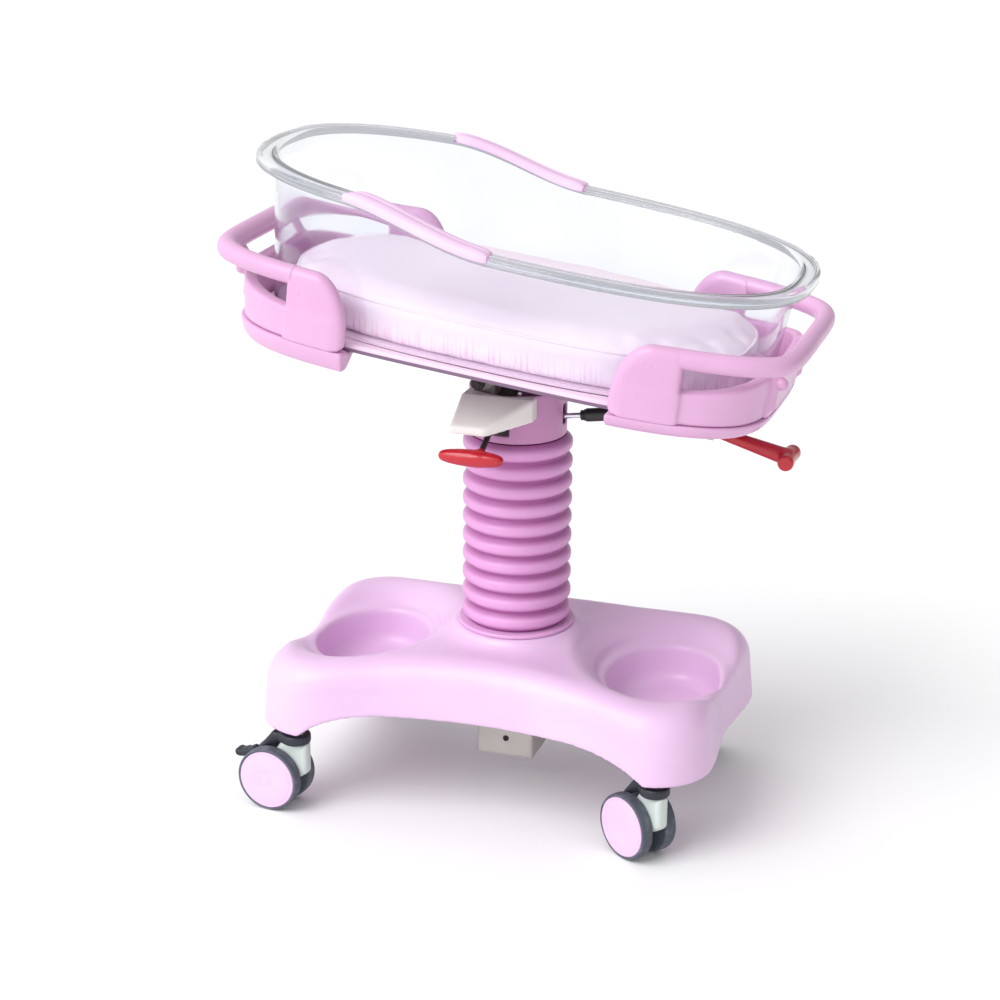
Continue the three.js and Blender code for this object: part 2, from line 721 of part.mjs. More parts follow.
function coverBody(wall, bottomAt, stride) {
  const shoulder = COVER_SHOULDER_RADIUS;
  const inset = (distance) => coverInset(distance).filter((_, i) => i % stride === 0);
  const crestAt = (point) => coverCrest - wall + crestArch(point.x);
  const rings = [raised(inset(wall), bottomAt)];
  for (let i = 0; i <= SHOULDER_STEPS; i += 1) {
    const angle = (i / SHOULDER_STEPS) * (Math.PI / 2);
    const drawn = COVER_DRAFT + wall + (shoulder - COVER_DRAFT) * (1 - Math.cos(angle));
    rings.push(raised(inset(drawn), (point) => crestAt(point) - shoulder * (1 - Math.sin(angle))));
  }
  const plateau = rings.at(-1);
  for (const share of MOUND_SHARES) {
    rings.push(plateau.map((point) => {
      const rim = new THREE.Vector3(point.x, point.y, 0).setLength(moundRadius - wall);
      const spot = new THREE.Vector3().lerpVectors(point, rim, share);
      return spot.setZ(THREE.MathUtils.lerp(crestAt(spot), moundTop - wall, share ** MOUND_STEEPNESS));
    }));
  }
  return loft(rings);
}

// An upright elliptical well that narrows towards its floor.
function ellipseWell(x, halfLength, halfWidth, draft, bottom, top) {
  const ring = (inset, level) => Array.from({ length: POCKET_FACETS }, (_, j) => {
    const angle = (2 * Math.PI * j) / POCKET_FACETS;
    const across = (halfWidth - inset) * Math.sin(angle);
    return new THREE.Vector3(x + (halfLength - inset) * Math.cos(angle), across, level);
  });
  return loft([ring(draft, bottom), ring(0, top), ring(0, moundTop + MOUND_RISE)]);
}

function pocketWell(x, grow) {
  const [length, width] = [POCKET_HALF_LENGTH + grow, POCKET_HALF_WIDTH + grow];
  return ellipseWell(x, length, width, POCKET_DRAFT, pocketFloor - grow, pocketRim + SEAT_GAP);
}

function dishWell(x, grow) {
  const [length, width] = [POCKET_HALF_LENGTH + DISH_MARGIN + grow, POCKET_HALF_WIDTH + DISH_MARGIN + grow];
  return ellipseWell(x, length, width, DISH_DRAFT, pocketRim - grow, coverCrest + SEAT_GAP);
}

function buildCover(base) {
  const pocketX = casterX - POCKET_SETBACK;
  const wells = [-pocketX, pocketX];
  const linings = wells.flatMap((x) => [pocketWell(x, COVER_WALL), dishWell(x, COVER_WALL)]);
  const hollowBottom = frameBottom - FRAME_TUBE_HEIGHT;
  const hollow = cut(coverBody(COVER_WALL, () => hollowBottom, HOLLOW_STRIDE), ...linings);
  const openings = wells.flatMap((x) => [pocketWell(x, 0), dishWell(x, 0)]);
  const holeRadius = OUTER_TUBE_RADIUS + COLUMN_HOLE_GAP;
  const columnHole = rodAlongZ(holeRadius, coverCrest - MOUND_RISE, moundTop + MOUND_RISE, ROUND_FACETS);
  const body = join(coverBody(0, skirtLevel, 1), ...wells.map((x) => pocketWell(x, COVER_WALL)));
  place(base, 'base_cover', cut(body, hollow, ...openings, columnHole), pinkShell);
}

// Column: fixed outer tube, sliding inner tube, lift gas spring and bellows
const outerTubeBottom = frameTop + SEAT_GAP;
const outerTubeTop = outerTubeBottom + OUTER_TUBE_LENGTH;
const outerTubeBore = OUTER_TUBE_RADIUS - OUTER_TUBE_WALL;
const bushOuter = outerTubeBore - SEAT_GAP;
const bushInner = bushOuter - BUSH_THICKNESS;
const innerTubeRadius = bushInner - RUN_GAP;
const innerTubeTop = headPlateBottom - SEAT_GAP;
const innerTubeBottom = innerTubeTop - INNER_TUBE_LENGTH;
const bellowsBore = bellowsRadius - BELLOWS_VALLEY - BELLOWS_WALL;

function bellowsProfile() {
  const pitch = BELLOWS_LENGTH / BELLOWS_RIBS;
  const profile = [[bellowsBore, bellowsTop], [bellowsBore, bellowsBottom]];
  for (let rib = 0; rib < BELLOWS_RIBS; rib += 1) {
    const low = bellowsBottom + rib * pitch;
    profile.push([bellowsRadius - BELLOWS_VALLEY, low]);
    profile.push([bellowsRadius, low + pitch * RIB_START]);
    profile.push([bellowsRadius, low + pitch * RIB_END]);
  }
  profile.push([bellowsRadius - BELLOWS_VALLEY, bellowsTop], profile[0]);
  return profile;
}

function buildColumn(base) {
  const flangeRadius = OUTER_TUBE_RADIUS + TUBE_FLANGE_WIDTH;
  const tube = latheAlongZ([
    [outerTubeBore, outerTubeBottom],
    [flangeRadius, outerTubeBottom],
    [flangeRadius, outerTubeBottom + TUBE_FLANGE_THICKNESS],
    [OUTER_TUBE_RADIUS, outerTubeBottom + TUBE_FLANGE_THICKNESS],
    [OUTER_TUBE_RADIUS, outerTubeTop],
    [outerTubeBore, outerTubeTop],
    [outerTubeBore, outerTubeBottom],
  ], ROUND_FACETS);
  place(base, 'column_outer_tube', tube, paintedSteel);
  const bush = ringAlongZ(bushInner, bushOuter, outerTubeTop - BUSH_LENGTH, outerTubeTop);
  place(base, 'guide_bush', bush, blackPaint);
  const liftCylinderTop = liftCylinderBottom + LIFT_CYLINDER_LENGTH;
  const bore = LIFT_CYLINDER_RADIUS - LIFT_CYLINDER_WALL;
  const cylinder = latheAlongZ([
    [0, liftCylinderBottom],
    [LIFT_CYLINDER_RADIUS, liftCylinderBottom],
    [LIFT_CYLINDER_RADIUS, liftCylinderTop],
    [bore, liftCylinderTop],
    [bore, liftCylinderBottom + LIFT_CYLINDER_FLOOR],
    [0, liftCylinderBottom + LIFT_CYLINDER_FLOOR],
  ], SMALL_FACETS);
  place(base, 'lift_spring_cylinder', cylinder, blackPaint);
  const lowerRing = ringAlongZ(bellowsBore, ringRadius, ringBottom, ringBottom + RING_HEIGHT);
  place(base, 'bellows_lower_ring', lowerRing, pinkShell);
  place(base, 'bellows', latheAlongZ(bellowsProfile(), BELLOWS_FACETS), pinkRubber);
}

// Lift head: sleeve, bracket with ears, hinge pin, lever cover and the tilt spring's lug
const leverPivotY = -(SLEEVE_RADIUS + LEVER_PIVOT_OUT);
const leverPivotZ = sleeveTop - LEVER_PIVOT_DROP;
const liftRodTop = leverPivotZ + LEVER_TONGUE_RISE - LEVER_TONGUE_THICKNESS - VALVE_GAP;

function headBracket() {
  const plateRadius = SLEEVE_RADIUS - SLEEVE_WALL - SEAT_GAP;
  const pieces = [rodAlongZ(plateRadius, headPlateBottom, headPlateTop, ROUND_FACETS)];
  for (const side of [-1, 1]) {
    const shape = new THREE.Shape();
    shape.moveTo(PIVOT_OFFSET - EAR_WIDTH / 2, headPlateTop - SEAT_GAP);
    shape.lineTo(PIVOT_OFFSET + EAR_WIDTH / 2, headPlateTop - SEAT_GAP);
    shape.absarc(PIVOT_OFFSET, pivotLevel, EAR_RADIUS, 0, Math.PI, false);
    pieces.push(plateAcross(shape, EAR_THICKNESS).translate(0, side * (EAR_SPREAD + EAR_THICKNESS / 2), 0));
  }
  const pinHole = rodAlongY(PIN_RADIUS + SEAT_GAP, -SLEEVE_RADIUS, SLEEVE_RADIUS, PIVOT_OFFSET, pivotLevel);
  const rodHole = rodAlongZ(LIFT_ROD_RADIUS + SEAT_GAP, sleeveBottom, pivotLevel);
  return cut(join(...pieces), pinHole, rodHole);
}

function leverCoverBody(inset, open) {
  const frame = (headX, footX, low, high, y) => [
    new THREE.Vector3(headX + inset, y, low - open),
    new THREE.Vector3(footX - inset, y, low - open),
    new THREE.Vector3(footX - inset, y, high - inset),
    new THREE.Vector3(headX + inset, y, high - inset),
  ];
  const top = sleeveTop;
  const lipTop = top - LEVER_LIP_DROP + LEVER_LIP_HEIGHT;
  const front = -(SLEEVE_RADIUS + LEVER_COVER_REACH) + inset;
  return loft([
    frame(LEVER_COVER_HEAD_X, LEVER_COVER_FOOT_X, top - LEVER_COVER_DROP, top, -SLEEVE_RADIUS / 2),
    frame(LEVER_COVER_HEAD_X, LEVER_COVER_FOOT_X, top - LEVER_COVER_DROP, top, -SLEEVE_RADIUS - PIN_RADIUS),
    frame(LEVER_COVER_HEAD_X, LEVER_LIP_FOOT_X, top - LEVER_LIP_DROP, lipTop, front),
  ]);
}

function springLug() {
  const low = headPlateTop + SEAT_GAP;
  const slot = SPRING_EYE_WIDTH / 2 + RUN_GAP;
  const cheek = slot + SPRING_CHEEK_THICKNESS;
  const [start, end] = [SPRING_LUG_X - SPRING_LUG_LENGTH / 2, SPRING_LUG_X + SPRING_LUG_LENGTH / 2];
  const block = box([start, -cheek, low], [end, cheek, springLevel + SPRING_EYE_RADIUS]);
  const room = box([start - SEAT_GAP, -slot, low + SPRING_LUG_FOOT], [end + SEAT_GAP, slot, pivotLevel]);
  const pin = rodAlongY(SPRING_PIN_RADIUS, -cheek, cheek, SPRING_LUG_X, springLevel);
  return join(cut(block, room), pin);
}

function columnSleeve() {
  const sleeve = ringAlongZ(SLEEVE_RADIUS - SLEEVE_WALL, SLEEVE_RADIUS, sleeveBottom, sleeveTop);
  const halfLever = LEVER_TONGUE_WIDTH / 2 + LEVER_PIN_RADIUS;
  const tongueX = LEVER_X + LEVER_TONGUE_SHIFT;
  const leverWindow = box(
    [tongueX - halfLever, -SLEEVE_RADIUS - SLEEVE_WALL, headPlateTop + SEAT_GAP],
    [tongueX + halfLever, -SLEEVE_RADIUS / 2, sleeveTop + SLEEVE_WALL],
  );
  const halfSpring = SPRING_ROD_RADIUS + SWING_GAP;
  const springWindow = box(
    [SLEEVE_RADIUS / 2, -halfSpring, springLevel - SPRING_WINDOW_DROP],
    [SLEEVE_RADIUS + SLEEVE_WALL, halfSpring, springLevel + SPRING_WINDOW_RISE],
  );
  return cut(sleeve, leverWindow, springWindow);
}

function buildLiftHead(head) {
  const innerBore = innerTubeRadius - INNER_TUBE_WALL;
  const innerTube = ringAlongZ(innerBore, innerTubeRadius, innerTubeBottom, innerTubeTop);
  place(head, 'column_inner_tube', innerTube, chrome);
  place(head, 'lift_spring_rod', rodAlongZ(LIFT_ROD_RADIUS, innerTubeBottom, liftRodTop), chrome);
  place(head, 'column_sleeve', columnSleeve(), pinkShell);
  place(head, 'head_bracket', headBracket(), paintedSteel);
  const pinHalf = [
    [PIN_RADIUS, PIN_HALF_LENGTH],
    [PIN_HEAD_RADIUS, PIN_HALF_LENGTH],
    [PIN_HEAD_RADIUS, PIN_HALF_LENGTH + PIN_HEAD_THICKNESS],
    [0, PIN_HALF_LENGTH + PIN_HEAD_THICKNESS],
  ];
  const pinProfile = [...pinHalf.map(([radius, y]) => [radius, -y]).reverse(), ...pinHalf];
  const pin = latheAlongY(pinProfile, SMALL_FACETS).translate(PIVOT_OFFSET, 0, pivotLevel);
  place(head, 'tilt_hinge_pin', pin, darkSteel);
  const sleeveRoom = rodAlongZ(SLEEVE_RADIUS + SEAT_GAP, bellowsBottom, pivotLevel, ROUND_FACETS);
  const coverHollow = leverCoverBody(LEVER_COVER_WALL, LEVER_LIP_DROP);
  const coverShell = cut(leverCoverBody(0, 0), coverHollow, sleeveRoom);
  place(head, 'lever_cover', coverShell, beigePlastic);
  place(head, 'tilt_spring_lug', springLug(), paintedSteel);
  const pinLow = LEVER_X - LEVER_PIN_LENGTH / 2;
  const leverPin = rodAlongX(LEVER_PIN_RADIUS, pinLow, pinLow + LEVER_PIN_LENGTH, leverPivotY, leverPivotZ);
  place(head, 'height_lever_pin', leverPin, darkSteel);
}

// Height lever: hub, inner tongue over the spring's valve, stem and red cross grip
function barBetween(radius, from, to, facets = SMALL_FACETS) {
  const line = new THREE.LineCurve3(from, to);
  const rod = new THREE.CylinderGeometry(radius, radius, line.getLength(), facets);
  const turn = new THREE.Quaternion().setFromUnitVectors(new THREE.Vector3(0, 1, 0), line.getTangent(0));
  const middle = line.getPoint(0.5);
  return rod.applyQuaternion(turn).translate(middle.x, middle.y, middle.z);
}

function taperedBar(length, radius, tipRadius, facets = SMALL_FACETS) {
  const half = length / 2;
  const waist = half * LEVER_BAR_WAIST;
  const upper = [[radius, waist], [tipRadius, half], [0, half]];
  const lower = upper.map(([size, level]) => [size, -level]).reverse();
  return latheAlongY([...lower, ...upper], facets);
}

function buildHeightLever(lever) {
  lever.position.set(LEVER_X, leverPivotY, leverPivotZ);
  const gripCentre = new THREE.Vector3(0, -LEVER_STEM_REACH, -LEVER_STEM_DROP);
  const direction = gripCentre.clone().normalize();
  const stemEnd = gripCentre.clone().addScaledVector(direction, -LEVER_BAR_RADIUS + LEVER_SOCKET_DEPTH);
  const hub = rodAlongX(LEVER_HUB_RADIUS, -LEVER_HUB_LENGTH / 2, LEVER_HUB_LENGTH / 2, 0, 0);
  const stem = barBetween(LEVER_STEM_RADIUS, new THREE.Vector3(), stemEnd);
  const thick = LEVER_TONGUE_THICKNESS;
  const tongue = outline([
    [0, -thick / 2],
    [-leverPivotY, LEVER_TONGUE_RISE - thick],
    [-leverPivotY, LEVER_TONGUE_RISE],
    [0, thick / 2],
  ]);
  const tongueBar = plateAcross(tongue, LEVER_TONGUE_WIDTH).rotateZ(Math.PI / 2);
  tongueBar.translate(LEVER_TONGUE_SHIFT, 0, 0);
  const pinBore = rodAlongX(LEVER_PIN_RADIUS + RUN_GAP, -LEVER_HUB_LENGTH, LEVER_HUB_LENGTH, 0, 0);
  place(lever, 'height_lever', cut(join(hub, stem, tongueBar), pinBore), darkSteel);
  const bar = taperedBar(LEVER_BAR_LENGTH, LEVER_BAR_RADIUS, LEVER_BAR_TIP_RADIUS).rotateZ(Math.PI / 2);
  bar.translate(LEVER_BAR_SHIFT, gripCentre.y, gripCentre.z);
  const socketEnd = stemEnd.clone().addScaledVector(direction, SEAT_GAP);
  const socket = barBetween(LEVER_STEM_RADIUS + SEAT_GAP, new THREE.Vector3(), socketEnd);
  place(lever, 'height_lever_grip', cut(bar, socket), redPlastic);
}

// Plan curves that run round one end of the deck, from one side to the other
function endAngles(start, steps, halfLength, exponent) {
  const limit = ovalAngleAt(start, halfLength, exponent);
  return Array.from({ length: steps + 1 }, (_, i) => limit * ((2 * i) / steps - 1));
}

function housingPoint(end, angle, across, level) {
  const drop = (blockTop - level) / (blockTop - housingBottom);
  const drawnIn = HOUSING_DRAFT * drop * (1 - across);
  const halfLength = housingHalfLength - HOUSING_END_THICKNESS * across - drawnIn;
  const halfWidth = housingHalfWidth - HOUSING_SIDE_THICKNESS * across - drawnIn;
  const point = ovalPoint(halfLength, halfWidth, HOUSING_EXPONENT, angle, level);
  point.x *= end;
  return point;
}

function housingBand(end, angles, outerShare, innerShare, bottom, topAt) {
  return loft(angles.map((angle) => {
    const top = topAt(angle);
    return [
      housingPoint(end, angle, outerShare, bottom),
      housingPoint(end, angle, outerShare, top),
      housingPoint(end, angle, innerShare, top),
      housingPoint(end, angle, innerShare, bottom),
    ];
  }));
}

// The block's inner top corner falls away in a tall quarter ellipse towards the middle of the deck.
function blockTopAt(angle) {
  const along = housingPoint(1, angle, 0, blockTop).x - blockStart;
  const short = Math.min(1, Math.max(0, 1 - along / HOUSING_CORNER_LENGTH));
  return blockTop - HOUSING_CORNER_HEIGHT * (1 - Math.sqrt(1 - short ** 2));
}

// The end panel stands highest across the end and falls to its sides beyond the posts.
function panelTopAt(angle) {
  const slotAngle = ovalAngleAt(slotStart, housingHalfLength, HOUSING_EXPONENT);
  const side = THREE.MathUtils.smoothstep(Math.abs(angle), degrees(HOUSING_POST_ANGLE), slotAngle);
  return panelTop + PANEL_END_RISE - (PANEL_END_RISE + PANEL_SIDE_FALL) * side;
}

// A post leans out from the panel to the underside of the handle.
function housingPost(end, side) {
  const angle = side * degrees(HOUSING_POST_ANGLE);
  const foot = housingPoint(end, angle, POST_SHARE, panelTop);
  const levels = [panelTop, handleLevel - HANDLE_RADIUS - SEAT_GAP];
  return loft(levels.map((level, i) => Array.from({ length: SMALL_FACETS }, (_, k) => {
    const turn = (2 * Math.PI * k) / SMALL_FACETS;
    const x = foot.x + end * POST_LEAN * i + HOUSING_POST_RADIUS * Math.cos(turn);
    return new THREE.Vector3(x, foot.y + HOUSING_POST_RADIUS * Math.sin(turn), level);
  })));
}

function housingShell(end) {
  const angles = endAngles(blockStart, HOUSING_STEPS, housingHalfLength, HOUSING_EXPONENT);
  const limit = angles.at(-1);
  const slotAngle = ovalAngleAt(slotStart, housingHalfLength, HOUSING_EXPONENT);
  const blockAngles = HOUSING_CORNER_SHARES.map((share) => limit + (slotAngle - limit) * share);
  const pieces = [housingBand(end, angles.slice(1, -1), 0, 1, housingBottom, panelTopAt)];
  for (const side of [-1, 1]) {
    const turned = blockAngles.map((angle) => side * angle);
    pieces.push(housingBand(end, turned, 0, 1, housingBottom, (angle) => blockTopAt(Math.abs(angle))));
    pieces.push(housingPost(end, side));
  }
  const skin = HOUSING_WALL / HOUSING_END_THICKNESS;
  const roofAt = (angle) => panelTopAt(angle) - HOUSING_WALL;
  const hollow = housingBand(end, angles.slice(2, -2), skin, 1 - skin, chinTop, roofAt);
  return cut(join(...pieces), hollow);
}

// The chin closes the housing from below and reaches in under the tray.
function chinBand(end, height) {
  const angles = endAngles(blockStart, HOUSING_STEPS, housingHalfLength, HOUSING_EXPONENT);
  const low = chinTop - height;
  const ledgeTop = TRAY_RISE - SEAT_GAP;
  const edge = (angle, fromLength, fromWidth, level) => {
    const point = ovalPoint(fromLength, fromWidth, HOUSING_EXPONENT, angle, level);
    point.x *= end;
    return point;
  };
  const outerLength = housingHalfLength - HOUSING_DRAFT;
  const outerWidth = housingHalfWidth - HOUSING_DRAFT;
  const bulge = CHIN_SETBACK / 4;
  return loft(angles.map((angle) => [
    edge(angle, outerLength, outerWidth, chinTop),
    edge(angle, outerLength - bulge, outerWidth - bulge, (chinTop + low) / 2),
    edge(angle, outerLength - CHIN_SETBACK, outerWidth - CHIN_SETBACK, low),
    edge(angle, trayHalfLength, trayHalfWidth, low),
    edge(angle, trayHalfLength - CHIN_LEDGE, trayHalfWidth - CHIN_LEDGE, ledgeTop - CHIN_LEDGE_THICKNESS),
    edge(angle, trayHalfLength - CHIN_LEDGE, trayHalfWidth - CHIN_LEDGE, ledgeTop),
    edge(angle, trayHalfLength + TRAY_EDGE_GAP, trayHalfWidth + TRAY_EDGE_GAP, ledgeTop),
    edge(angle, trayHalfLength + TRAY_EDGE_GAP, trayHalfWidth + TRAY_EDGE_GAP, chinTop),
  ]));
}

class EndLoop extends THREE.Curve {
  constructor(end) {
    super();
    this.end = end;
    this.limit = ovalAngleAt(slotStart + SEAT_GAP, handleHalfLength, HOUSING_EXPONENT);
  }

  getPoint(share, target = new THREE.Vector3()) {
    const angle = this.limit * (2 * share - 1);
    const point = ovalPoint(handleHalfLength, handleHalfWidth, HOUSING_EXPONENT, angle, handleLevel);
    const flat = handleHalfLength - HANDLE_FLAT;
    const blend = Math.max(0, 1 - Math.abs(point.x - flat) / HANDLE_BLEND);
    const x = Math.min(point.x, flat) - (HANDLE_BLEND * blend ** 2) / 4;
    return target.set(this.end * x, point.y, point.z);
  }
}

function handleLoop(end) {
  const section = new THREE.Shape().absarc(0, 0, HANDLE_RADIUS, 0, 2 * Math.PI, false);
  const options = { steps: HANDLE_STEPS, extrudePath: new EndLoop(end), curveSegments: HANDLE_FACETS };
  const loop = new THREE.ExtrudeGeometry(section, options);
  const blockRoom = box(
    [0, -RIM_HALF_LENGTH, 0],
    [slotStart + SEAT_GAP, RIM_HALF_LENGTH, rimLevel],
  );
  if (end < 0) {
    blockRoom.rotateZ(Math.PI);
  }
  return cut(loop, blockRoom);
}

// Tray and hinge bracket
function ovalPlate(halfLength, halfWidth, exponent, bottom, top) {
  return loft([bottom, top].map((level) => (
    ovalAngles().map((angle) => ovalPoint(halfLength, halfWidth, exponent, angle, level))
  )));
}

function hingeBracket() {
  const top = TRAY_RISE - SEAT_GAP;
  const low = top - HINGE_PLATE_THICKNESS;
  const [x, y] = [HINGE_PLATE_LENGTH / 2, HINGE_PLATE_WIDTH / 2];
  const pieces = [box([-x, -y, low], [x, y, top])];
  const lugInner = EAR_SPREAD + EAR_THICKNESS + HINGE_SIDE_GAP;
  for (const side of [-1, 1]) {
    const shape = new THREE.Shape();
    shape.moveTo(HINGE_LUG_WIDTH / 2, low + SEAT_GAP);
    shape.lineTo(-HINGE_LUG_WIDTH / 2, low + SEAT_GAP);
    shape.absarc(0, 0, HINGE_LUG_RADIUS, Math.PI, 2 * Math.PI, false);
    const lugMiddle = side * (lugInner + HINGE_LUG_THICKNESS / 2);
    pieces.push(plateAcross(shape, HINGE_LUG_THICKNESS).translate(0, lugMiddle, 0));
  }
  return cut(join(...pieces), rodAlongY(PIN_RADIUS + RUN_GAP, -PIN_HALF_LENGTH, PIN_HALF_LENGTH, 0, 0));
}

// Bracket under the foot end: holds the tilt spring's far pin and the tilt lever's pin
const bracketStart = springAnchorFar - BRACKET_INSET;
const bracketSlot = SPRING_FORK_EYE_RADIUS + RUN_GAP;

function releaseBracket() {
  const top = TRAY_RISE - SEAT_GAP;
  const outer = bracketSlot + SPRING_CHEEK_THICKNESS;
  const block = box([bracketStart, -outer, -BRACKET_DROP], [bracketEnd, outer, top]);
  const slot = box(
    [bracketStart - SEAT_GAP, -bracketSlot, -BRACKET_DROP - SEAT_GAP],
    [bracketEnd + SEAT_GAP, bracketSlot, top - HINGE_PLATE_THICKNESS],
  );
  const springPin = rodAlongY(SPRING_PIN_RADIUS, -outer, outer, springAnchorFar, 0);
  const leverPin = rodAlongY(LEVER_PIN_RADIUS, -outer, outer, tiltLeverX, -TILT_LEVER_DROP);
  return join(cut(block, slot), springPin, leverPin);
}

function buildDeck(deck, cradle) {
  place(deck, 'deck_hinge_bracket', hingeBracket(), paintedSteel);
  place(deck, 'tilt_release_bracket', releaseBracket(), paintedSteel);
  const tray = ovalPlate(trayHalfLength, trayHalfWidth, HOUSING_EXPONENT, TRAY_RISE, trayTop);
  place(cradle, 'deck_tray', tray, trayGrey);
  for (const [name, end, chinHeight] of [['head', -1, HEAD_CHIN_HEIGHT], ['foot', 1, FOOT_CHIN_HEIGHT]]) {
    place(cradle, `${name}_housing`, housingShell(end), pinkShell);
    place(cradle, `${name}_chin`, chinBand(end, chinHeight), pinkShell);
    place(cradle, `${name}_handle`, handleLoop(end), pinkShell);
  }
}

// Tilt lever: hub, nose towards the spring's valve, stem and red cross grip
function buildTiltLever(lever) {
  lever.position.set(tiltLeverX, 0, -TILT_LEVER_DROP);
  lever.rotation.y = degrees(TILT_LEVER_SLOPE);
  const half = bracketSlot - RUN_GAP;
  const hub = rodAlongY(LEVER_HUB_RADIUS, -half, half, 0, 0);
  const nose = rodAlongX(LEVER_STEM_RADIUS, -TILT_NOSE_LENGTH, 0, 0, 0);
  const stemEnd = TILT_LEVER_REACH - TILT_BAR_RADIUS + LEVER_SOCKET_DEPTH;
  const stem = rodAlongX(LEVER_STEM_RADIUS, 0, stemEnd, 0, 0);
  const bore = rodAlongY(LEVER_PIN_RADIUS + RUN_GAP, -bracketSlot, bracketSlot, 0, 0);
  place(lever, 'tilt_lever', cut(join(hub, nose, stem), bore), darkSteel);
  const barHalf = TILT_BAR_LENGTH / 2;
  const bar = rodAlongY(TILT_BAR_RADIUS, -barHalf, barHalf, TILT_LEVER_REACH, 0);
  const sheath = rodAlongX(TILT_STEM_RADIUS, LEVER_HUB_RADIUS * 2, TILT_LEVER_REACH, 0, 0);
  const socket = rodAlongX(LEVER_STEM_RADIUS + SEAT_GAP, 0, stemEnd + SEAT_GAP, 0, 0);
  place(lever, 'tilt_lever_grip', cut(join(bar, sheath), socket), redPlastic);
}

// Tilt gas spring, built along its own X axis from the near pin
function springLength() {
  const tilt = degrees(DECK_TILT);
  const farX = PIVOT_OFFSET + springAnchorFar * Math.cos(tilt);
  const farZ = pivotLevel - springAnchorFar * Math.sin(tilt);
  return new THREE.Vector2(farX - SPRING_LUG_X, farZ - springLevel);
}

function buildTiltSpring(spring) {
  const span = springLength();
  spring.position.set(SPRING_LUG_X, 0, springLevel);
  spring.rotation.y = -span.angle();
  const half = SPRING_EYE_WIDTH / 2;
  const eye = rodAlongY(SPRING_EYE_RADIUS, -half, half, 0, 0);
  const rod = rodAlongX(SPRING_ROD_RADIUS, 0, SPRING_ROD_LENGTH, 0, 0);
  const eyeBore = rodAlongY(SPRING_PIN_RADIUS + RUN_GAP, -half * 2, half * 2, 0, 0);
  place(spring, 'tilt_spring_rod', cut(join(eye, rod), eyeBore), chrome);
  const end = span.length();
  const body = rodAlongX(SPRING_BODY_RADIUS, SPRING_ROD_SHOWN, end - SPRING_FORK_EYE_RADIUS / 2, 0, 0);
  const forkEye = rodAlongY(SPRING_FORK_EYE_RADIUS, -half, half, end, 0, ROUND_FACETS);
  const boreRadius = SPRING_BODY_RADIUS - SPRING_BODY_WALL;
  const bore = rodAlongX(boreRadius, 0, SPRING_ROD_SHOWN + SPRING_BORE_LENGTH, 0, 0);
  const openPivot = rodAlongY(SPRING_PIN_RADIUS + SWING_GAP, -half * 4, half * 4, end, 0, ROUND_FACETS);
  place(spring, 'tilt_spring_cylinder', cut(join(body, forkEye), bore, openPivot), blackPaint);
}

// Tub with a rolled rim that falls gently to the foot end and steps up at the head end
function rimRise(x) {
  const step = HEAD_RISE * (1 - THREE.MathUtils.smoothstep(x, SLOPE_HEAD_X, SLOPE_FOOT_X));
  return step - x * Math.tan(degrees(RIM_FALL));
}

function rimPoint(angle, inset, below) {
  const point = ovalPoint(RIM_HALF_LENGTH - inset, RIM_HALF_WIDTH - inset, RIM_EXPONENT, angle, 0);
  const edge = ovalPoint(RIM_HALF_LENGTH, RIM_HALF_WIDTH, RIM_EXPONENT, angle, 0);
  return point.setZ(rimLevel + rimRise(edge.x) - below);
}

function tubRing(inset, level) {
  return ovalAngles().map((angle) => (
    ovalPoint(RIM_HALF_LENGTH - inset, RIM_HALF_WIDTH - inset, RIM_EXPONENT, angle, level)
  ));
}

function tubShell() {
  const rim = (inset, below) => ovalAngles().map((angle) => rimPoint(angle, inset, below));
  const foot = RIM_FLANGE + TUB_DRAFT;
  const corner = TUB_CORNER_RADIUS;
  const floor = tubBottom + TUB_WALL;
  const soft = 1 - Math.SQRT1_2;
  return loft([
    tubRing(foot + corner, tubBottom),
    tubRing(foot + corner * soft, tubBottom + corner * soft),
    tubRing(foot, tubBottom + corner),
    rim(RIM_FLANGE, TUB_WALL),
    rim(TUB_WALL, TUB_WALL),
    rim(TUB_WALL, RIM_LIP_DROP),
    rim(0, RIM_LIP_DROP),
    rim(0, RIM_EDGE),
    rim(RIM_EDGE, 0),
    rim(RIM_FLANGE + TUB_WALL - RIM_EDGE, 0),
    rim(RIM_FLANGE + TUB_WALL, RIM_EDGE),
    tubRing(foot + TUB_WALL, floor + corner),
    tubRing(foot + TUB_WALL + corner * soft, floor + corner * soft),
    tubRing(foot + TUB_WALL + corner, floor),
  ]);
}

// A soft grip that caps the sloping stretch of rim on one side.
function rimGrip(side) {
  const stations = ovalAngles().filter((angle) => {
    const edge = ovalPoint(RIM_HALF_LENGTH, RIM_HALF_WIDTH, RIM_EXPONENT, angle, 0);
    return Math.sign(edge.y) === side && edge.x > GRIP_HEAD_X && edge.x < GRIP_FOOT_X;
  });
  const inner = RIM_FLANGE + TUB_WALL + GRIP_GAP;
  const proud = GRIP_THICKNESS + GRIP_GAP;
  const section = [
    [RIM_FLANGE, -GRIP_GAP],
    [-GRIP_GAP, -GRIP_GAP],
    [-GRIP_GAP, GRIP_LIP],
    [-proud, GRIP_LIP],
    [-proud, -GRIP_THICKNESS / 2],
    [-proud / 2, -proud],
    [RIM_FLANGE, -proud],
    [inner, -GRIP_THICKNESS / 2],
  ];
  return loft(stations.map((angle) => section.map(([inset, below]) => rimPoint(angle, inset, below))));
}

function buildTub(cradle) {
  place(cradle, 'tub', tubShell(), clearPlastic);
  place(cradle, 'rim_grip_near', rimGrip(-1), pinkRubber);
  place(cradle, 'rim_grip_far', rimGrip(1), pinkRubber);
}

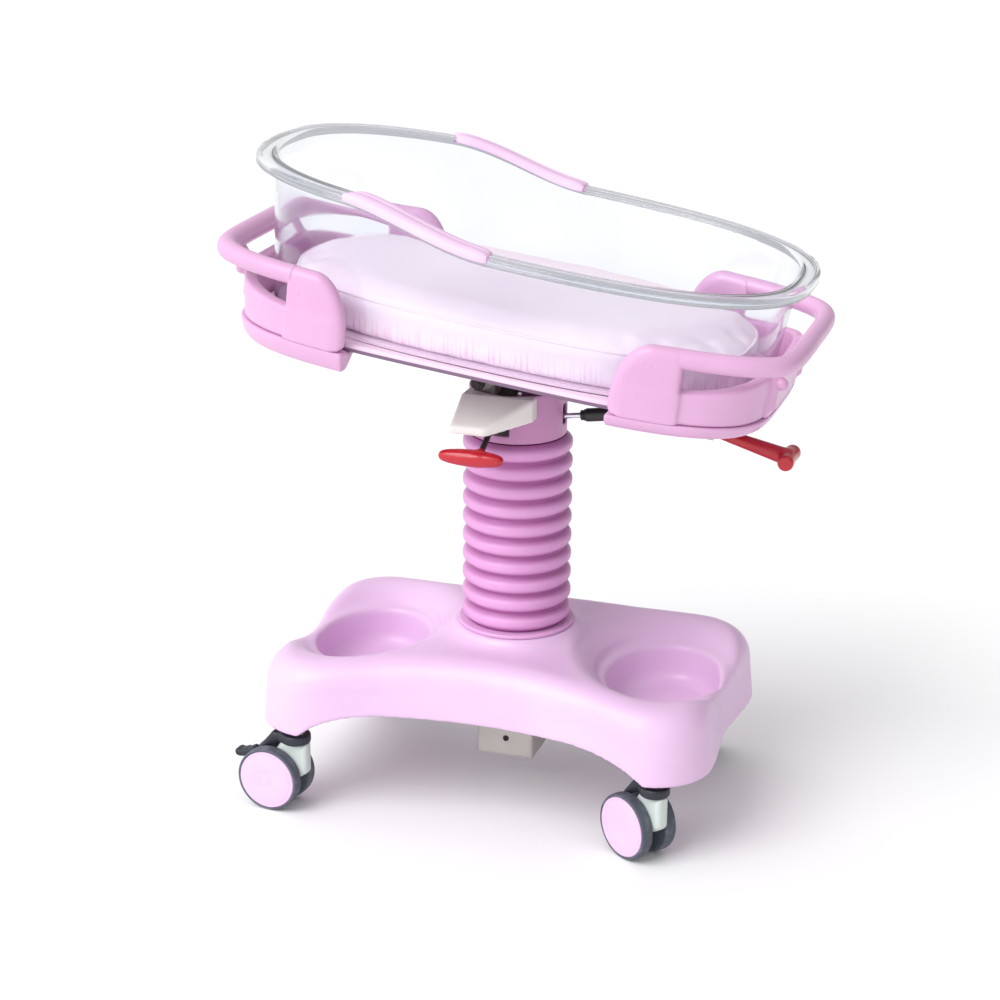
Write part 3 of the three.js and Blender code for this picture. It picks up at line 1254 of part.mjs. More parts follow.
// Mattress: a crowned pad whose sides draw in between its rounded ends
function mattressPad() {
  const bottom = tubBottom + TUB_WALL + SEAT_GAP;
  const edge = bottom + MATTRESS_EDGE_HEIGHT;
  const side = MATTRESS_SIDES.map(([inset, share]) => ovalAngles().map((angle) => {
    const drawn = inset + MATTRESS_WAIST * Math.sin(angle) ** 4;
    const level = bottom + MATTRESS_EDGE_HEIGHT * share;
    return ovalPoint(mattressHalfLength - inset, mattressHalfWidth - drawn, RIM_EXPONENT, angle, level);
  }));
  const crown = MATTRESS_CROWNS.map(([share, swell]) => ovalAngles().map((angle) => {
    const level = edge + MATTRESS_CROWN * swell;
    return ovalPoint(mattressHalfLength * share, mattressHalfWidth * share, RIM_EXPONENT, angle, level);
  }));
  return loft([...side, ...crown]);
}

// Assembly
const base = new THREE.Group();
buildFrame(base);
buildCover(base);
buildColumn(base);
casters.forEach((caster) => base.add(buildCaster(caster)));

const heightLever = new THREE.Group();
heightLever.name = 'height_lever_pivot';
buildHeightLever(heightLever);

const tiltSpring = new THREE.Group();
tiltSpring.name = 'tilt_spring_pivot';
buildTiltSpring(tiltSpring);

const cradle = new THREE.Group();
cradle.position.x = DECK_CENTRE;
buildTub(cradle);
place(cradle, 'mattress', mattressPad(), paleFabric);

const tiltLever = new THREE.Group();
tiltLever.name = 'tilt_lever_pivot';
buildTiltLever(tiltLever);

const deck = new THREE.Group();
deck.name = 'tilt_pivot';
deck.position.set(PIVOT_OFFSET, 0, pivotLevel);
deck.rotation.y = degrees(DECK_TILT);
buildDeck(deck, cradle);
deck.add(cradle, tiltLever);

const head = new THREE.Group();
buildLiftHead(head);
head.add(heightLever, tiltSpring, deck);

// The origin is on the floor, in the middle of the bassinet's length and width.
const bassinet = new THREE.Group();
bassinet.name = 'bassinet';
bassinet.add(base, head);
const extent = new THREE.Box3().setFromObject(bassinet, true);
const middle = extent.getCenter(new THREE.Vector3());
bassinet.position.set(-middle.x, -middle.y, -extent.min.z);
bassinet.updateMatrixWorld(true);

export default bassinet;
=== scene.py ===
"""Looks of a hospital bassinet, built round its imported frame.

A clear tub with a mattress stands on a tilting deck with moulded end housings. A column with a
ribbed bellows carries the deck, on a moulded base with four twin-wheel casters. Sizes in the
classes are millimetres, and become metres where a mesh is made. The near side is -Y.
"""

import logging
import math
from dataclasses import dataclass
from enum import Enum
from typing import Callable, Sequence

import bmesh
import bpy
import numpy as np
from mathutils import Matrix, Vector
from mathutils.bvhtree import BVHTree


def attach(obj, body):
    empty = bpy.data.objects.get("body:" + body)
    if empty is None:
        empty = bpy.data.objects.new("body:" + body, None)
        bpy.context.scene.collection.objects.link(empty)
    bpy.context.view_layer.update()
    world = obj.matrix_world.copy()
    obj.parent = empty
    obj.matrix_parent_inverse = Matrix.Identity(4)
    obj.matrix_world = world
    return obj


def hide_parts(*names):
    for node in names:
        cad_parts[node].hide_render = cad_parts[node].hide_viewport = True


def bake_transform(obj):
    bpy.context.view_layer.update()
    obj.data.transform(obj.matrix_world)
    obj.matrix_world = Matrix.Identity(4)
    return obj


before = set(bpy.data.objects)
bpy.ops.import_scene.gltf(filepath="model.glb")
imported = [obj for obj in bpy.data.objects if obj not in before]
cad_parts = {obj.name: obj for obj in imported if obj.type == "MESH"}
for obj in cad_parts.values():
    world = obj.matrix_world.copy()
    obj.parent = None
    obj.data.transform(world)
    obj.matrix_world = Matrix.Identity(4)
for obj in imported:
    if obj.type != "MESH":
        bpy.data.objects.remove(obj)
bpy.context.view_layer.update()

log = logging.getLogger("bassinet")

Array = np.ndarray
Mesh = tuple[Array, list[tuple[int, ...]]]
Distance = Callable[[Array, Array, Array], Array]
Colour = tuple[float, float, float]

MM = 0.001
X_SHIFT = -13.308
BASE_SHIFT = -6.5
COLUMN_PLACE = Matrix.Translation((X_SHIFT, 0, 0))
DECK_TILT = math.radians(7)
DECK_PLACE = Matrix.Translation((X_SHIFT - 38, 0, 654.884)) @ Matrix.Rotation(DECK_TILT, 4, "Y")
CRADLE_PLACE = DECK_PLACE @ Matrix.Translation((34, 0, 0))


class Body(Enum):
    """Moving bodies of the bassinet that single pieces ride on."""

    BASE = "base"
    LIFT_HEAD = "lift_head"
    HEIGHT_LEVER = "height_lever"
    DECK = "deck"
    SPRING_ROD = "tilt_spring_rod"
    SPRING_CYLINDER = "tilt_spring_cylinder"
    TILT_LEVER = "tilt_lever"
    TUB = "tub"
    MATTRESS = "mattress"


class Slot(Enum):
    """Material slots of the record."""

    PINK_SHELL = "pink_shell"
    PINK_RUBBER = "pink_rubber"
    MATTRESS_COVER = "mattress_cover"
    CLEAR_PLASTIC = "clear_plastic"
    RED_PLASTIC = "red_plastic"
    BEIGE_PLASTIC = "beige_plastic"
    PAINTED_STEEL = "painted_steel"
    TRAY_BOARD = "tray_board"
    DARK_STEEL = "dark_steel"
    CHROME = "chrome"
    BLACK_PAINT = "black_paint"
    BLACK_PLASTIC = "black_plastic"
    CASTER_GREY = "caster_grey"
    TYRE_GREY = "tyre_grey"
    FORK_WHITE = "fork_white"


class End(Enum):
    """The two ends of the deck, as signs along X."""

    HEAD = -1
    FOOT = 1


# Numbers and curves


def smoothstep(value: Array, low: float, high: float) -> Array:
    """Return a smooth ramp from 0 at low to 1 at high."""
    share = np.clip((value - low) / (high - low), 0, 1)
    return share * share * (3 - 2 * share)


def smooth_max(first: Array, second: Array, radius: float) -> Array:
    """Return the larger of two distances, with a fillet of that radius where they meet."""
    near = np.maximum(radius - np.abs(first - second), 0) / radius
    return np.maximum(first, second) + near * near * radius / 4


def smooth_min(first: Array, second: Array, radius: float) -> Array:
    """Return the smaller of two distances, with a fillet of that radius where they meet."""
    return -smooth_max(-first, -second, radius)


def oval_points(half_length: Array, half_width: Array, exponent: float, angles: Array) -> Array:
    """Return plan points of a rounded oval.

    Args:
        half_length: Half the oval along X.
        half_width: Half the oval along Y.
        exponent: 2 for an ellipse, larger for squarer corners.
        angles: Angles in the oval's own stretched plan.

    Returns:
        Points as rows of x and y.
    """
    cos, sin = np.cos(angles), np.sin(angles)
    reach = (np.abs(cos) ** exponent + np.abs(sin) ** exponent) ** (-1 / exponent)
    return np.stack([half_length * reach * cos, half_width * reach * sin], axis=-1)


def oval_distance(x: Array, y: Array, half_length: Array, half_width: Array, exponent: float) -> Array:
    """Return the rough distance of points from a rounded oval, negative inside.

    Args:
        x: Places along the oval.
        y: Places across it.
        half_length: Half the oval along X.
        half_width: Half the oval along Y.
        exponent: 2 for an ellipse, larger for squarer corners.

    Returns:
        The distances, in the units of the sizes.
    """
    along, across = np.abs(x) / half_length, np.abs(y) / half_width
    reach = (along**exponent + across**exponent) ** (1 / exponent) + 1e-9
    steep = np.hypot(along ** (exponent - 1) / half_length, across ** (exponent - 1) / half_width)
    return (reach - 1) / (steep * reach ** (1 - exponent) + 1e-9)


def oval_angle_at(distance: float, half_length: float, exponent: float) -> float:
    """Return the stretched-plan angle at which an oval passes a distance along its length."""
    along = distance / half_length
    return math.atan2((1 - along**exponent) ** (1 / exponent), along)


def spline_loop(corners: Array, steps: int) -> Array:
    """Return a closed smooth curve through plan points.

    Args:
        corners: The points, as rows of x and y.
        steps: Points on each stretch between two corners.

    Returns:
        The curve's points, as rows of x and y.
    """
    count = len(corners)
    curve = []
    for i in range(count):
        before, start, end, after = (corners[(i + k) % count] for k in (-1, 0, 1, 2))
        gaps = [math.sqrt(np.linalg.norm(b - a)) for a, b in ((before, start), (start, end), (end, after))]
        leave = (start - before) / gaps[0] - (end - before) / (gaps[0] + gaps[1]) + (end - start) / gaps[1]
        arrive = (end - start) / gaps[1] - (after - start) / (gaps[1] + gaps[2]) + (after - end) / gaps[2]
        leave, arrive = leave * gaps[1], arrive * gaps[1]
        for share in np.arange(steps) / steps:
            square, cube = share**2, share**3
            point = start * (2 * cube - 3 * square + 1) + end * (3 * square - 2 * cube)
            curve.append(point + leave * (cube - 2 * square + share) + arrive * (cube - square))
    return np.array(curve)


def outline_distance(x: Array, y: Array, loop: Array) -> Array:
    """Return the distance of plan points from a closed outline, negative inside.

    Args:
        x: Places along X.
        y: Places along Y.
        loop: The outline's points, as rows of x and y.

    Returns:
        The distances.
    """
    nearest = np.full(np.broadcast(x, y).shape, np.inf)
    inside = np.zeros(nearest.shape, bool)
    for start, end in zip(loop, np.roll(loop, -1, axis=0)):
        edge = end - start
        share = np.clip(((x - start[0]) * edge[0] + (y - start[1]) * edge[1]) / (edge @ edge), 0, 1)
        gap = np.hypot(x - start[0] - share * edge[0], y - start[1] - share * edge[1])
        nearest = np.minimum(nearest, gap)
        crossed = (start[1] > y) != (end[1] > y)
        rise = edge[1] if edge[1] else 1.0
        inside ^= crossed & (x < start[0] + (y - start[1]) * edge[0] / rise)
    return np.where(inside, -nearest, nearest)


# Meshes


def loft(rings: Array, closed: bool = True, capped: bool = True) -> Mesh:
    """Return a skin over rings of points.

    Args:
        rings: Points in an array of rings, points and coordinates.
        closed: Whether each ring closes on itself.
        capped: Whether the first and the last ring are closed with a fan.

    Returns:
        The points and the faces.
    """
    count = rings.shape[1]
    points = rings.reshape(-1, 3)
    spans = count if closed else count - 1
    faces = []
    for i in range(rings.shape[0] - 1):
        for j in range(spans):
            here, beside = i * count + j, i * count + (j + 1) % count
            faces.append((here, beside, beside + count, here + count))
    if capped:
        centres = [rings[0].mean(axis=0), rings[-1].mean(axis=0)]
        for first, centre in zip((0, (rings.shape[0] - 1) * count), centres):
            middle = len(points)
            points = np.vstack([points, centre])
            faces += [(first + j, first + (j + 1) % count, middle) for j in range(count)]
    return points, faces


def lathe(profile: Sequence[tuple[float, float]], segments: int) -> Mesh:
    """Return a turned body about Z.

    Args:
        profile: Radius and level of each point. A profile that starts off the axis closes on itself.
        segments: Facets round the axis.

    Returns:
        The points and the faces.
    """
    angles = np.arange(segments) * 2 * math.pi / segments
    rounds = np.array([[[r * math.cos(a), r * math.sin(a), level] for a in angles] for r, level in profile])
    if profile[0][0] > 0:
        rounds = np.concatenate([rounds, rounds[:1]])
    return loft(rounds, capped=False)


def sweep(path: Array, radii: Array, segments: int, flatten: float = 1.0) -> Mesh:
    """Return a tube along a path.

    Args:
        path: Points of the centre line.
        radii: The tube's radius at each point.
        segments: Facets round the tube.
        flatten: Height of the section as a share of its width.

    Returns:
        The points and the faces.
    """
    ahead = np.gradient(path, axis=0)
    ahead /= np.linalg.norm(ahead, axis=1)[:, None]
    side = np.cross(ahead, [0, 0, 1])
    side /= np.linalg.norm(side, axis=1)[:, None]
    up = np.cross(side, ahead)
    angles = np.arange(segments) * 2 * math.pi / segments
    width, height = np.cos(angles), np.sin(angles) * flatten
    section = side[:, None] * width[:, None] + up[:, None] * height[:, None]
    return loft(path[:, None] + section * radii[:, None, None])


def relaxed(points: Array, faces: Array, rounds: int) -> Array:
    """Return points of a quad net evened out without shrinking it.

    Args:
        points: The net's points.
        faces: Its faces, four points each.
        rounds: How many times each point moves towards its neighbours and back.

    Returns:
        The new points.
    """
    pairs = np.concatenate([np.stack([faces[:, k], faces[:, (k + 1) % 4]], 1) for k in range(4)])
    ends = np.concatenate([pairs, pairs[:, ::-1]])
    degree = np.bincount(ends[:, 0], minlength=len(points))[:, None]
    for amount in (0.5, -0.52) * rounds:
        total = [np.bincount(ends[:, 0], points[ends[:, 1], k], len(points)) for k in range(3)]
        points = points + amount * (np.stack(total, 1) / degree - points)
    return points


def moulded(distance: Distance, low: Sequence[float], high: Sequence[float], step: float, rounds: int = 6) -> Mesh:
    """Return the skin of a moulded body that is given by its distance function.

    Args:
        distance: Distance from the skin at any place, negative inside.
        low: Lowest corner of the body's room.
        high: Highest corner of it.
        step: Size of the skin's faces.
        rounds: How much the skin is evened out.

    Returns:
        The points and the faces.
    """
    axes = [np.arange(a - 2 * step, b + 2.5 * step, step) for a, b in zip(low, high)]
    x, y, z = np.meshgrid(*axes, indexing="ij", sparse=True)
    values = np.broadcast_to(distance(x, y, z), [len(axis) for axis in axes])
    solid = values < 0
    cells = tuple(size - 1 for size in values.shape)
    total, hits = np.zeros(cells + (3,)), np.zeros(cells)
    for near in np.ndindex(2, 2, 2):
        for axis in range(3):
            if near[axis]:
                continue
            far = tuple(1 if k == axis else near[k] for k in range(3))
            here = values[tuple(slice(o, o + n) for o, n in zip(near, cells))]
            there = values[tuple(slice(o, o + n) for o, n in zip(far, cells))]
            crossed = (here < 0) != (there < 0)
            share = np.where(crossed, here / np.where(crossed, here - there, 1), 0)
            for k in range(3):
                total[..., k] += crossed * (share if k == axis else near[k])
            hits += crossed
    active = hits > 0
    number = np.full(cells, -1)
    number[active] = np.arange(np.count_nonzero(active))
    start = np.array([axis[0] for axis in axes])
    points = (np.argwhere(active) + total[active] / hits[active][:, None]) * step + start
    quads = []
    for axis in range(3):
        one, two = (axis + 1) % 3, (axis + 2) % 3
        ahead = np.roll(solid, -1, axis=axis)
        edges = np.argwhere(solid != ahead)
        inner = (edges > 0).all(axis=1) & (edges < np.array(cells)).all(axis=1)
        edges = edges[inner]
        step_one, step_two = np.eye(3, dtype=int)[[one, two]]
        around = [edges - step_one - step_two, edges - step_two, edges, edges - step_one]
        quad = np.stack([number[tuple(cell.T)] for cell in around], 1)
        outward = solid[tuple(edges.T)]
        quad[~outward] = quad[~outward][:, ::-1]
        quads.append(quad)
    faces = np.concatenate(quads)
    return relaxed(points, faces, rounds), [tuple(face) for face in faces.tolist()]


def mirrored(mesh: Mesh, end: End) -> Mesh:
    """Return a mesh made for the foot end, turned round for the head end if that is asked."""
    points, faces = mesh
    if end is End.FOOT:
        return mesh
    return points * [-1, 1, 1], [face[::-1] for face in faces]


def make_piece(name: str, mesh: Mesh, place: Matrix, sharp: float = 38) -> bpy.types.Object:
    """Put a mesh into the scene as one smooth-shaded piece.

    Args:
        name: The piece's name.
        mesh: Its points in millimetres, and its faces.
        place: Where its own frame stands, in millimetres.
        sharp: Edges that turn more than this many degrees stay sharp.

    Returns:
        The new object, which stands at the origin.
    """
    points, faces = mesh
    turn = np.array(place)
    placed = (points @ turn[:3, :3].T + turn[:3, 3]) * MM
    data = bpy.data.meshes.new(name)
    data.from_pydata(placed.tolist(), [], faces)
    work = bmesh.new()
    work.from_mesh(data)
    bmesh.ops.remove_doubles(work, verts=work.verts, dist=1e-6)
    bmesh.ops.dissolve_degenerate(work, dist=1e-7, edges=work.edges)
    bmesh.ops.recalc_face_normals(work, faces=work.faces)
    work.to_mesh(data)
    work.free()
    data.polygons.foreach_set("use_smooth", [True] * len(data.polygons))
    data.set_sharp_from_angle(angle=math.radians(sharp))
    piece = bpy.data.objects.new(name, data)
    bpy.context.scene.collection.objects.link(piece)
    return piece


def joined(*meshes: Mesh) -> Mesh:
    """Return several meshes as one."""
    points, faces, first = [], [], 0
    for some_points, some_faces in meshes:
        points.append(some_points)
        faces += [tuple(corner + first for corner in face) for face in some_faces]
        first += len(some_points)
    return np.vstack(points), faces


def turned(mesh: Mesh, place: Matrix) -> Mesh:
    """Return a mesh moved to a place in millimetres."""
    turn = np.array(place)
    return mesh[0] @ turn[:3, :3].T + turn[:3, 3], mesh[1]


def rounded_profile(corners: Sequence[tuple[float, float]], radius: float, steps: int = 4) -> list[tuple[float, float]]:
    """Return a turned profile with its inner corners rounded.

    Args:
        corners: Radius and level of each corner, from axis to axis.
        radius: The largest rounding, less where a side is short.
        steps: Points on each rounding.

    Returns:
        Radius and level of each point.
    """
    found = [corners[0]]
    for before, corner, after in zip(corners, corners[1:], corners[2:]):
        here, back, ahead = (np.array(p, float) for p in (corner, before, after))
        to_back, to_ahead = back - here, ahead - here
        room = min(radius, 0.49 * np.linalg.norm(to_back), 0.49 * np.linalg.norm(to_ahead))
        start = here + to_back / np.linalg.norm(to_back) * room
        end = here + to_ahead / np.linalg.norm(to_ahead) * room
        for share in np.linspace(0, 1, steps + 1):
            curve = start * (1 - share) ** 2 + here * 2 * share * (1 - share) + end * share**2
            found.append((float(curve[0]), float(curve[1])))
    return [*found, corners[-1]]


# Finishes


def linear(red: int, green: int, blue: int) -> Colour:
    """Return a screen colour, 0 to 255 each, as linear light."""
    return tuple((c / 255 / 12.92) if c <= 10 else ((c / 255 + 0.055) / 1.055) ** 2.4 for c in (red, green, blue))


class Nodes:
    """One material's node tree while it is put together."""

    def __init__(self, name: str) -> None:
        """Start a material with one surface shader."""
        self.material = bpy.data.materials.new(name)
        self.material.use_nodes = True
        self.tree = self.material.node_tree
        self.shader = next(n for n in self.tree.nodes if n.type == "BSDF_PRINCIPLED")
        self.place = self.add("ShaderNodeTexCoord").outputs["Object"]

    def add(self, kind: str, **values: object) -> bpy.types.Node:
        """Return a new node, with its sockets or settings given by name."""
        node = self.tree.nodes.new(kind)
        for key, value in values.items():
            socket = node.inputs.get(key.replace("_", " ").title())
            if socket is None:
                setattr(node, key, value)
            elif isinstance(value, bpy.types.NodeSocket):
                self.link(value, socket)
            else:
                socket.default_value = value
        return node

    def link(self, source: bpy.types.NodeSocket, target: bpy.types.NodeSocket) -> None:
        """Join two sockets."""
        self.tree.links.new(source, target)

    def noise(self, scale: float, detail: float = 3, stretch: Colour = (1, 1, 1)) -> bpy.types.NodeSocket:
        """Return soft noise over the piece's own frame, stretched along its axes."""
        mapping = self.add("ShaderNodeMapping", vector=self.place)
        mapping.inputs["Scale"].default_value = stretch
        field = self.add("ShaderNodeTexNoise", vector=mapping.outputs[0], scale=scale, detail=detail)
        return field.outputs["Fac"]

    def span(self, source: bpy.types.NodeSocket, low: float, high: float, to_low: float = 0, to_high: float = 1):
        """Return a value moved from one range to another, held at its ends."""
        node = self.add("ShaderNodeMapRange", value=source)
        node.inputs["From Min"].default_value, node.inputs["From Max"].default_value = low, high
        node.inputs["To Min"].default_value, node.inputs["To Max"].default_value = to_low, to_high
        return node.outputs[0]

    def mix(self, share: bpy.types.NodeSocket, first: object, second: object) -> bpy.types.NodeSocket:
        """Return a mix of two colours or colour sockets."""
        node = self.tree.nodes.new("ShaderNodeMix")
        node.data_type = "RGBA"
        self.link(share, node.inputs[0])
        for index, value in ((6, first), (7, second)):
            if isinstance(value, bpy.types.NodeSocket):
                self.link(value, node.inputs[index])
            else:
                node.inputs[index].default_value = (*value, 1)
        return node.outputs[2]

    def bump(self, height: bpy.types.NodeSocket, strength: float, depth: float) -> None:
        """Raise the surface by a height field, on top of what is there."""
        node = self.add("ShaderNodeBump", height=height, strength=strength, distance=depth)
        normal = self.shader.inputs["Normal"]
        if normal.is_linked:
            self.link(normal.links[0].from_socket, node.inputs["Normal"])
        self.link(node.outputs[0], normal)

    def math(self, operation: str, first: object, second: object = 0.0) -> bpy.types.NodeSocket:
        """Return one arithmetic step on two sockets or numbers."""
        node = self.add("ShaderNodeMath", operation=operation)
        for index, value in enumerate((first, second)):
            if isinstance(value, bpy.types.NodeSocket):
                self.link(value, node.inputs[index])
            else:
                node.inputs[index].default_value = value
        return node.outputs[0]


@dataclass(frozen=True)
class Finish:
    """A surface with a slowly varying colour, a painted highlight on convex edges, fine grain and uneven gloss."""

    name: str
    colour: Colour
    shade: Colour
    # The lighter colour that convex edges take, a painted highlight.
    edge: Colour
    roughness: float = 0.4
    metallic: float = 0.0
    mottle: float = 9.0
    grain: float = 900.0
    grain_depth: float = 0.00008
    coat: float = 0.0
    specular: float = 0.5
    translucence: float = 0.0

    def build(self) -> bpy.types.Material:
        """Return the material."""
        nodes = Nodes(self.name)
        shader = nodes.shader.inputs
        body = nodes.mix(nodes.span(nodes.noise(self.mottle), 0.32, 0.68), self.colour, self.shade)
        # Painted highlight: where pointiness finds a convex edge, the colour is mixed towards the lighter edge colour.
        edge_highlight = nodes.add("ShaderNodeNewGeometry").outputs["Pointiness"]
        nodes.link(nodes.mix(nodes.span(edge_highlight, 0.6, 0.74), body, self.edge), shader["Base Color"])
        uneven = nodes.noise(55, detail=4)
        nodes.link(nodes.span(uneven, 0.3, 0.7, self.roughness - 0.05, self.roughness + 0.07), shader["Roughness"])
        shader["Metallic"].default_value = self.metallic
        shader["Coat Weight"].default_value = self.coat
        shader["Coat Roughness"].default_value = 0.12
        shader["Specular IOR Level"].default_value = self.specular
        shader["Subsurface Weight"].default_value = self.translucence
        shader["Subsurface Radius"].default_value = (0.01, 0.007, 0.009)
        nodes.bump(nodes.noise(self.grain, detail=2), 0.35, self.grain_depth)
        self.detail(nodes)
        return nodes.material

    def detail(self, nodes: Nodes) -> None:
        """Add what only one kind of finish has; the plain finish has nothing more."""


@dataclass(frozen=True)
class BellowsFinish(Finish):
    """Soft ribbed plastic with painted shade: darker down in its valleys, where shade falls."""

    # The painted shade colour of the valleys.
    valley: Colour = (0.4, 0.15, 0.35)
    crest_radius: float = 81.0
    valley_radius: float = 72.5

    def detail(self, nodes: Nodes) -> None:
        """Paint shade into the valleys: darken the colour where the surface is close to the column's axis."""
        split = nodes.add("ShaderNodeSeparateXYZ", vector=nodes.place)
        along = nodes.math("SUBTRACT", split.outputs["X"], X_SHIFT * MM)
        square = nodes.math("MULTIPLY", along, along)
        across = nodes.math("MULTIPLY", split.outputs["Y"], split.outputs["Y"])
        radius = nodes.math("SQRT", nodes.math("ADD", square, across))
        # Painted shade: the share of valley colour grows towards each valley's bottom.
        valley_shade = nodes.span(radius, self.valley_radius * MM, (self.crest_radius - 1.5) * MM, 1, 0)
        colour = nodes.shader.inputs["Base Color"]
        nodes.link(nodes.mix(valley_shade, colour.links[0].from_socket, self.valley), colour)


@dataclass(frozen=True)
class BrushedFinish(Finish):
    """Bare or plated metal with fine drawn lines along one axis."""

    lines: Colour = (40.0, 900.0, 900.0)
    line_depth: float = 0.00002

    def detail(self, nodes: Nodes) -> None:
        """Add the drawn lines."""
        nodes.bump(nodes.noise(1.0, detail=3, stretch=self.lines), 0.25, self.line_depth)


@dataclass(frozen=True)
class TyreFinish(Finish):
    """Grey rubber with dust in its pores."""

    dust: Colour = (0.3, 0.3, 0.33)

    def detail(self, nodes: Nodes) -> None:
        """Dust the rubber in soft patches."""
        colour = nodes.shader.inputs["Base Color"]
        patch = nodes.span(nodes.noise(70, detail=6), 0.5, 0.72, 0, 0.5)
        nodes.link(nodes.mix(patch, colour.links[0].from_socket, self.dust), colour)


@dataclass(frozen=True)
class FabricFinish(Finish):
    """Wipeable woven cover, with streaks of painted crease shade low on its sides where it pleats."""

    thread: float = 1100.0
    # Darker pink painted into the pleats' creases as shade.
    crease_shade: Colour = (0.8, 0.3, 0.53)
    gather_low: float = 0.71
    gather_high: float = 0.752

    def detail(self, nodes: Nodes) -> None:
        """Add the weave, a soft sheen and the pleats: bumped streaks that also carry painted crease shade."""
        shader = nodes.shader.inputs
        shader["Sheen Weight"].default_value = 0.25
        shader["Sheen Roughness"].default_value = 0.5
        for axis in ("X", "Y"):
            wave = nodes.add("ShaderNodeTexWave", vector=nodes.place, scale=self.thread)
            wave.bands_direction = axis
            nodes.bump(wave.outputs["Fac"], 0.12, 0.00012)
        split = nodes.add("ShaderNodeSeparateXYZ", vector=nodes.place)
        fall = nodes.math("MULTIPLY", split.outputs["X"], math.tan(DECK_TILT))
        level = nodes.math("ADD", split.outputs["Z"], fall)
        low_down = nodes.span(level, self.gather_low, self.gather_high, 1, 0)
        streak = nodes.span(nodes.noise(1.0, detail=4, stretch=(230.0, 230.0, 7.0)), 0.5, 0.66)
        # Painted shade: low on the side, the streaks are mixed towards the darker crease colour.
        share = nodes.math("MULTIPLY", nodes.math("MULTIPLY", low_down, streak), 0.8)
        colour = shader["Base Color"]
        nodes.link(nodes.mix(share, colour.links[0].from_socket, self.crease_shade), colour)
        nodes.bump(streak, 0.15, 0.0008)


@dataclass(frozen=True)
class TrayFinish(Finish):
    """Pale board with painted shade: a dark band along the lower half of its edge, which faces down."""

    # The painted shade colour of the edge's lower half.
    band: Colour = (0.2, 0.14, 0.2)
    shade_band_top: float = 0.7028

    def detail(self, nodes: Nodes) -> None:
        """Paint shade on the board below the band's upper edge."""
        split = nodes.add("ShaderNodeSeparateXYZ", vector=nodes.place)
        fall = nodes.math("MULTIPLY", split.outputs["X"], math.tan(DECK_TILT))
        level = nodes.math("ADD", split.outputs["Z"], fall)
        # Painted shade: below this level the board is mixed towards the dark band colour.
        below = nodes.span(level, self.shade_band_top, self.shade_band_top + 0.0008, 1, 0)
        colour = nodes.shader.inputs["Base Color"]
        nodes.link(nodes.mix(below, colour.links[0].from_socket, self.band), colour)


@dataclass(frozen=True)
class ClearFinish(Finish):
    """Clear moulded plastic with faint flow marks and hazed gloss."""

    haze: float = 0.03

    def build(self) -> bpy.types.Material:
        """Return the material."""
        nodes = Nodes(self.name)
        shader = nodes.shader.inputs
        tint = nodes.span(nodes.noise(6, detail=2), 0.3, 0.7)
        nodes.link(nodes.mix(tint, self.colour, self.shade), shader["Base Color"])
        smear = nodes.noise(30, detail=5)
        nodes.link(nodes.span(smear, 0.35, 0.7, self.haze, self.haze + 0.06), shader["Roughness"])
        shader["IOR"].default_value = 1.45
        shader["Transmission Weight"].default_value = 1.0
        shader["Specular IOR Level"].default_value = 0.55
        nodes.bump(nodes.noise(16, detail=2), 0.05, 0.001)
        return nodes.material


# Each finish gives its colour, a random darker tone, and the lighter colour of its painted edge highlight.
PINK_SHELL = Finish(
    "pink_shell", linear(228, 194, 228), linear(223, 187, 223), linear(238, 208, 238), 0.34, grain_depth=0.00003
)
PINK_GLOSS = Finish(
    "pink_gloss", linear(218, 170, 208), linear(213, 163, 203), linear(230, 188, 222), 0.32, grain_depth=0.00003
)
PINK_RUBBER = BellowsFinish(
    "pink_bellows",
    linear(219, 160, 210),
    linear(213, 151, 204),
    linear(230, 178, 222),
    0.42,
    # Painted shade for the bellows' valleys.
    valley=linear(164, 90, 150),
)
PINK_RING = Finish(
    "pink_ring", linear(222, 172, 216), linear(216, 164, 210), linear(233, 190, 228), 0.4, translucence=0.06
)
# Painted shade: the sleeve's pink is darker to stand for the deck's shadow on it.
PINK_SLEEVE_SHADED = Finish(
    "pink_sleeve_shaded", linear(204, 146, 190), linear(197, 137, 183), linear(217, 165, 205), 0.4, translucence=0.06
)
PINK_GRIP = Finish(
    "pink_grip", linear(240, 206, 237), linear(234, 196, 231), linear(247, 222, 245), 0.5, grain=500.0
)
MATTRESS_COVER = FabricFinish(
    "mattress_cover", linear(241, 228, 241), linear(237, 221, 238), linear(246, 236, 246), 0.6, mottle=5.0
)
CLEAR_PLASTIC = ClearFinish("clear_tub", linear(247, 248, 251), linear(240, 242, 247), linear(255, 255, 255))
RED_PLASTIC = Finish(
    "red_plastic", linear(190, 22, 38), linear(172, 16, 32), linear(214, 52, 62), 0.3, coat=0.3
)
BEIGE_PLASTIC = Finish("beige_plastic", linear(240, 236, 232), linear(229, 224, 220), linear(246, 244, 241), 0.42)
PAINTED_STEEL = BrushedFinish(
    "painted_steel", linear(192, 188, 182), linear(176, 171, 165), linear(214, 211, 207), 0.42, metallic=0.5
)
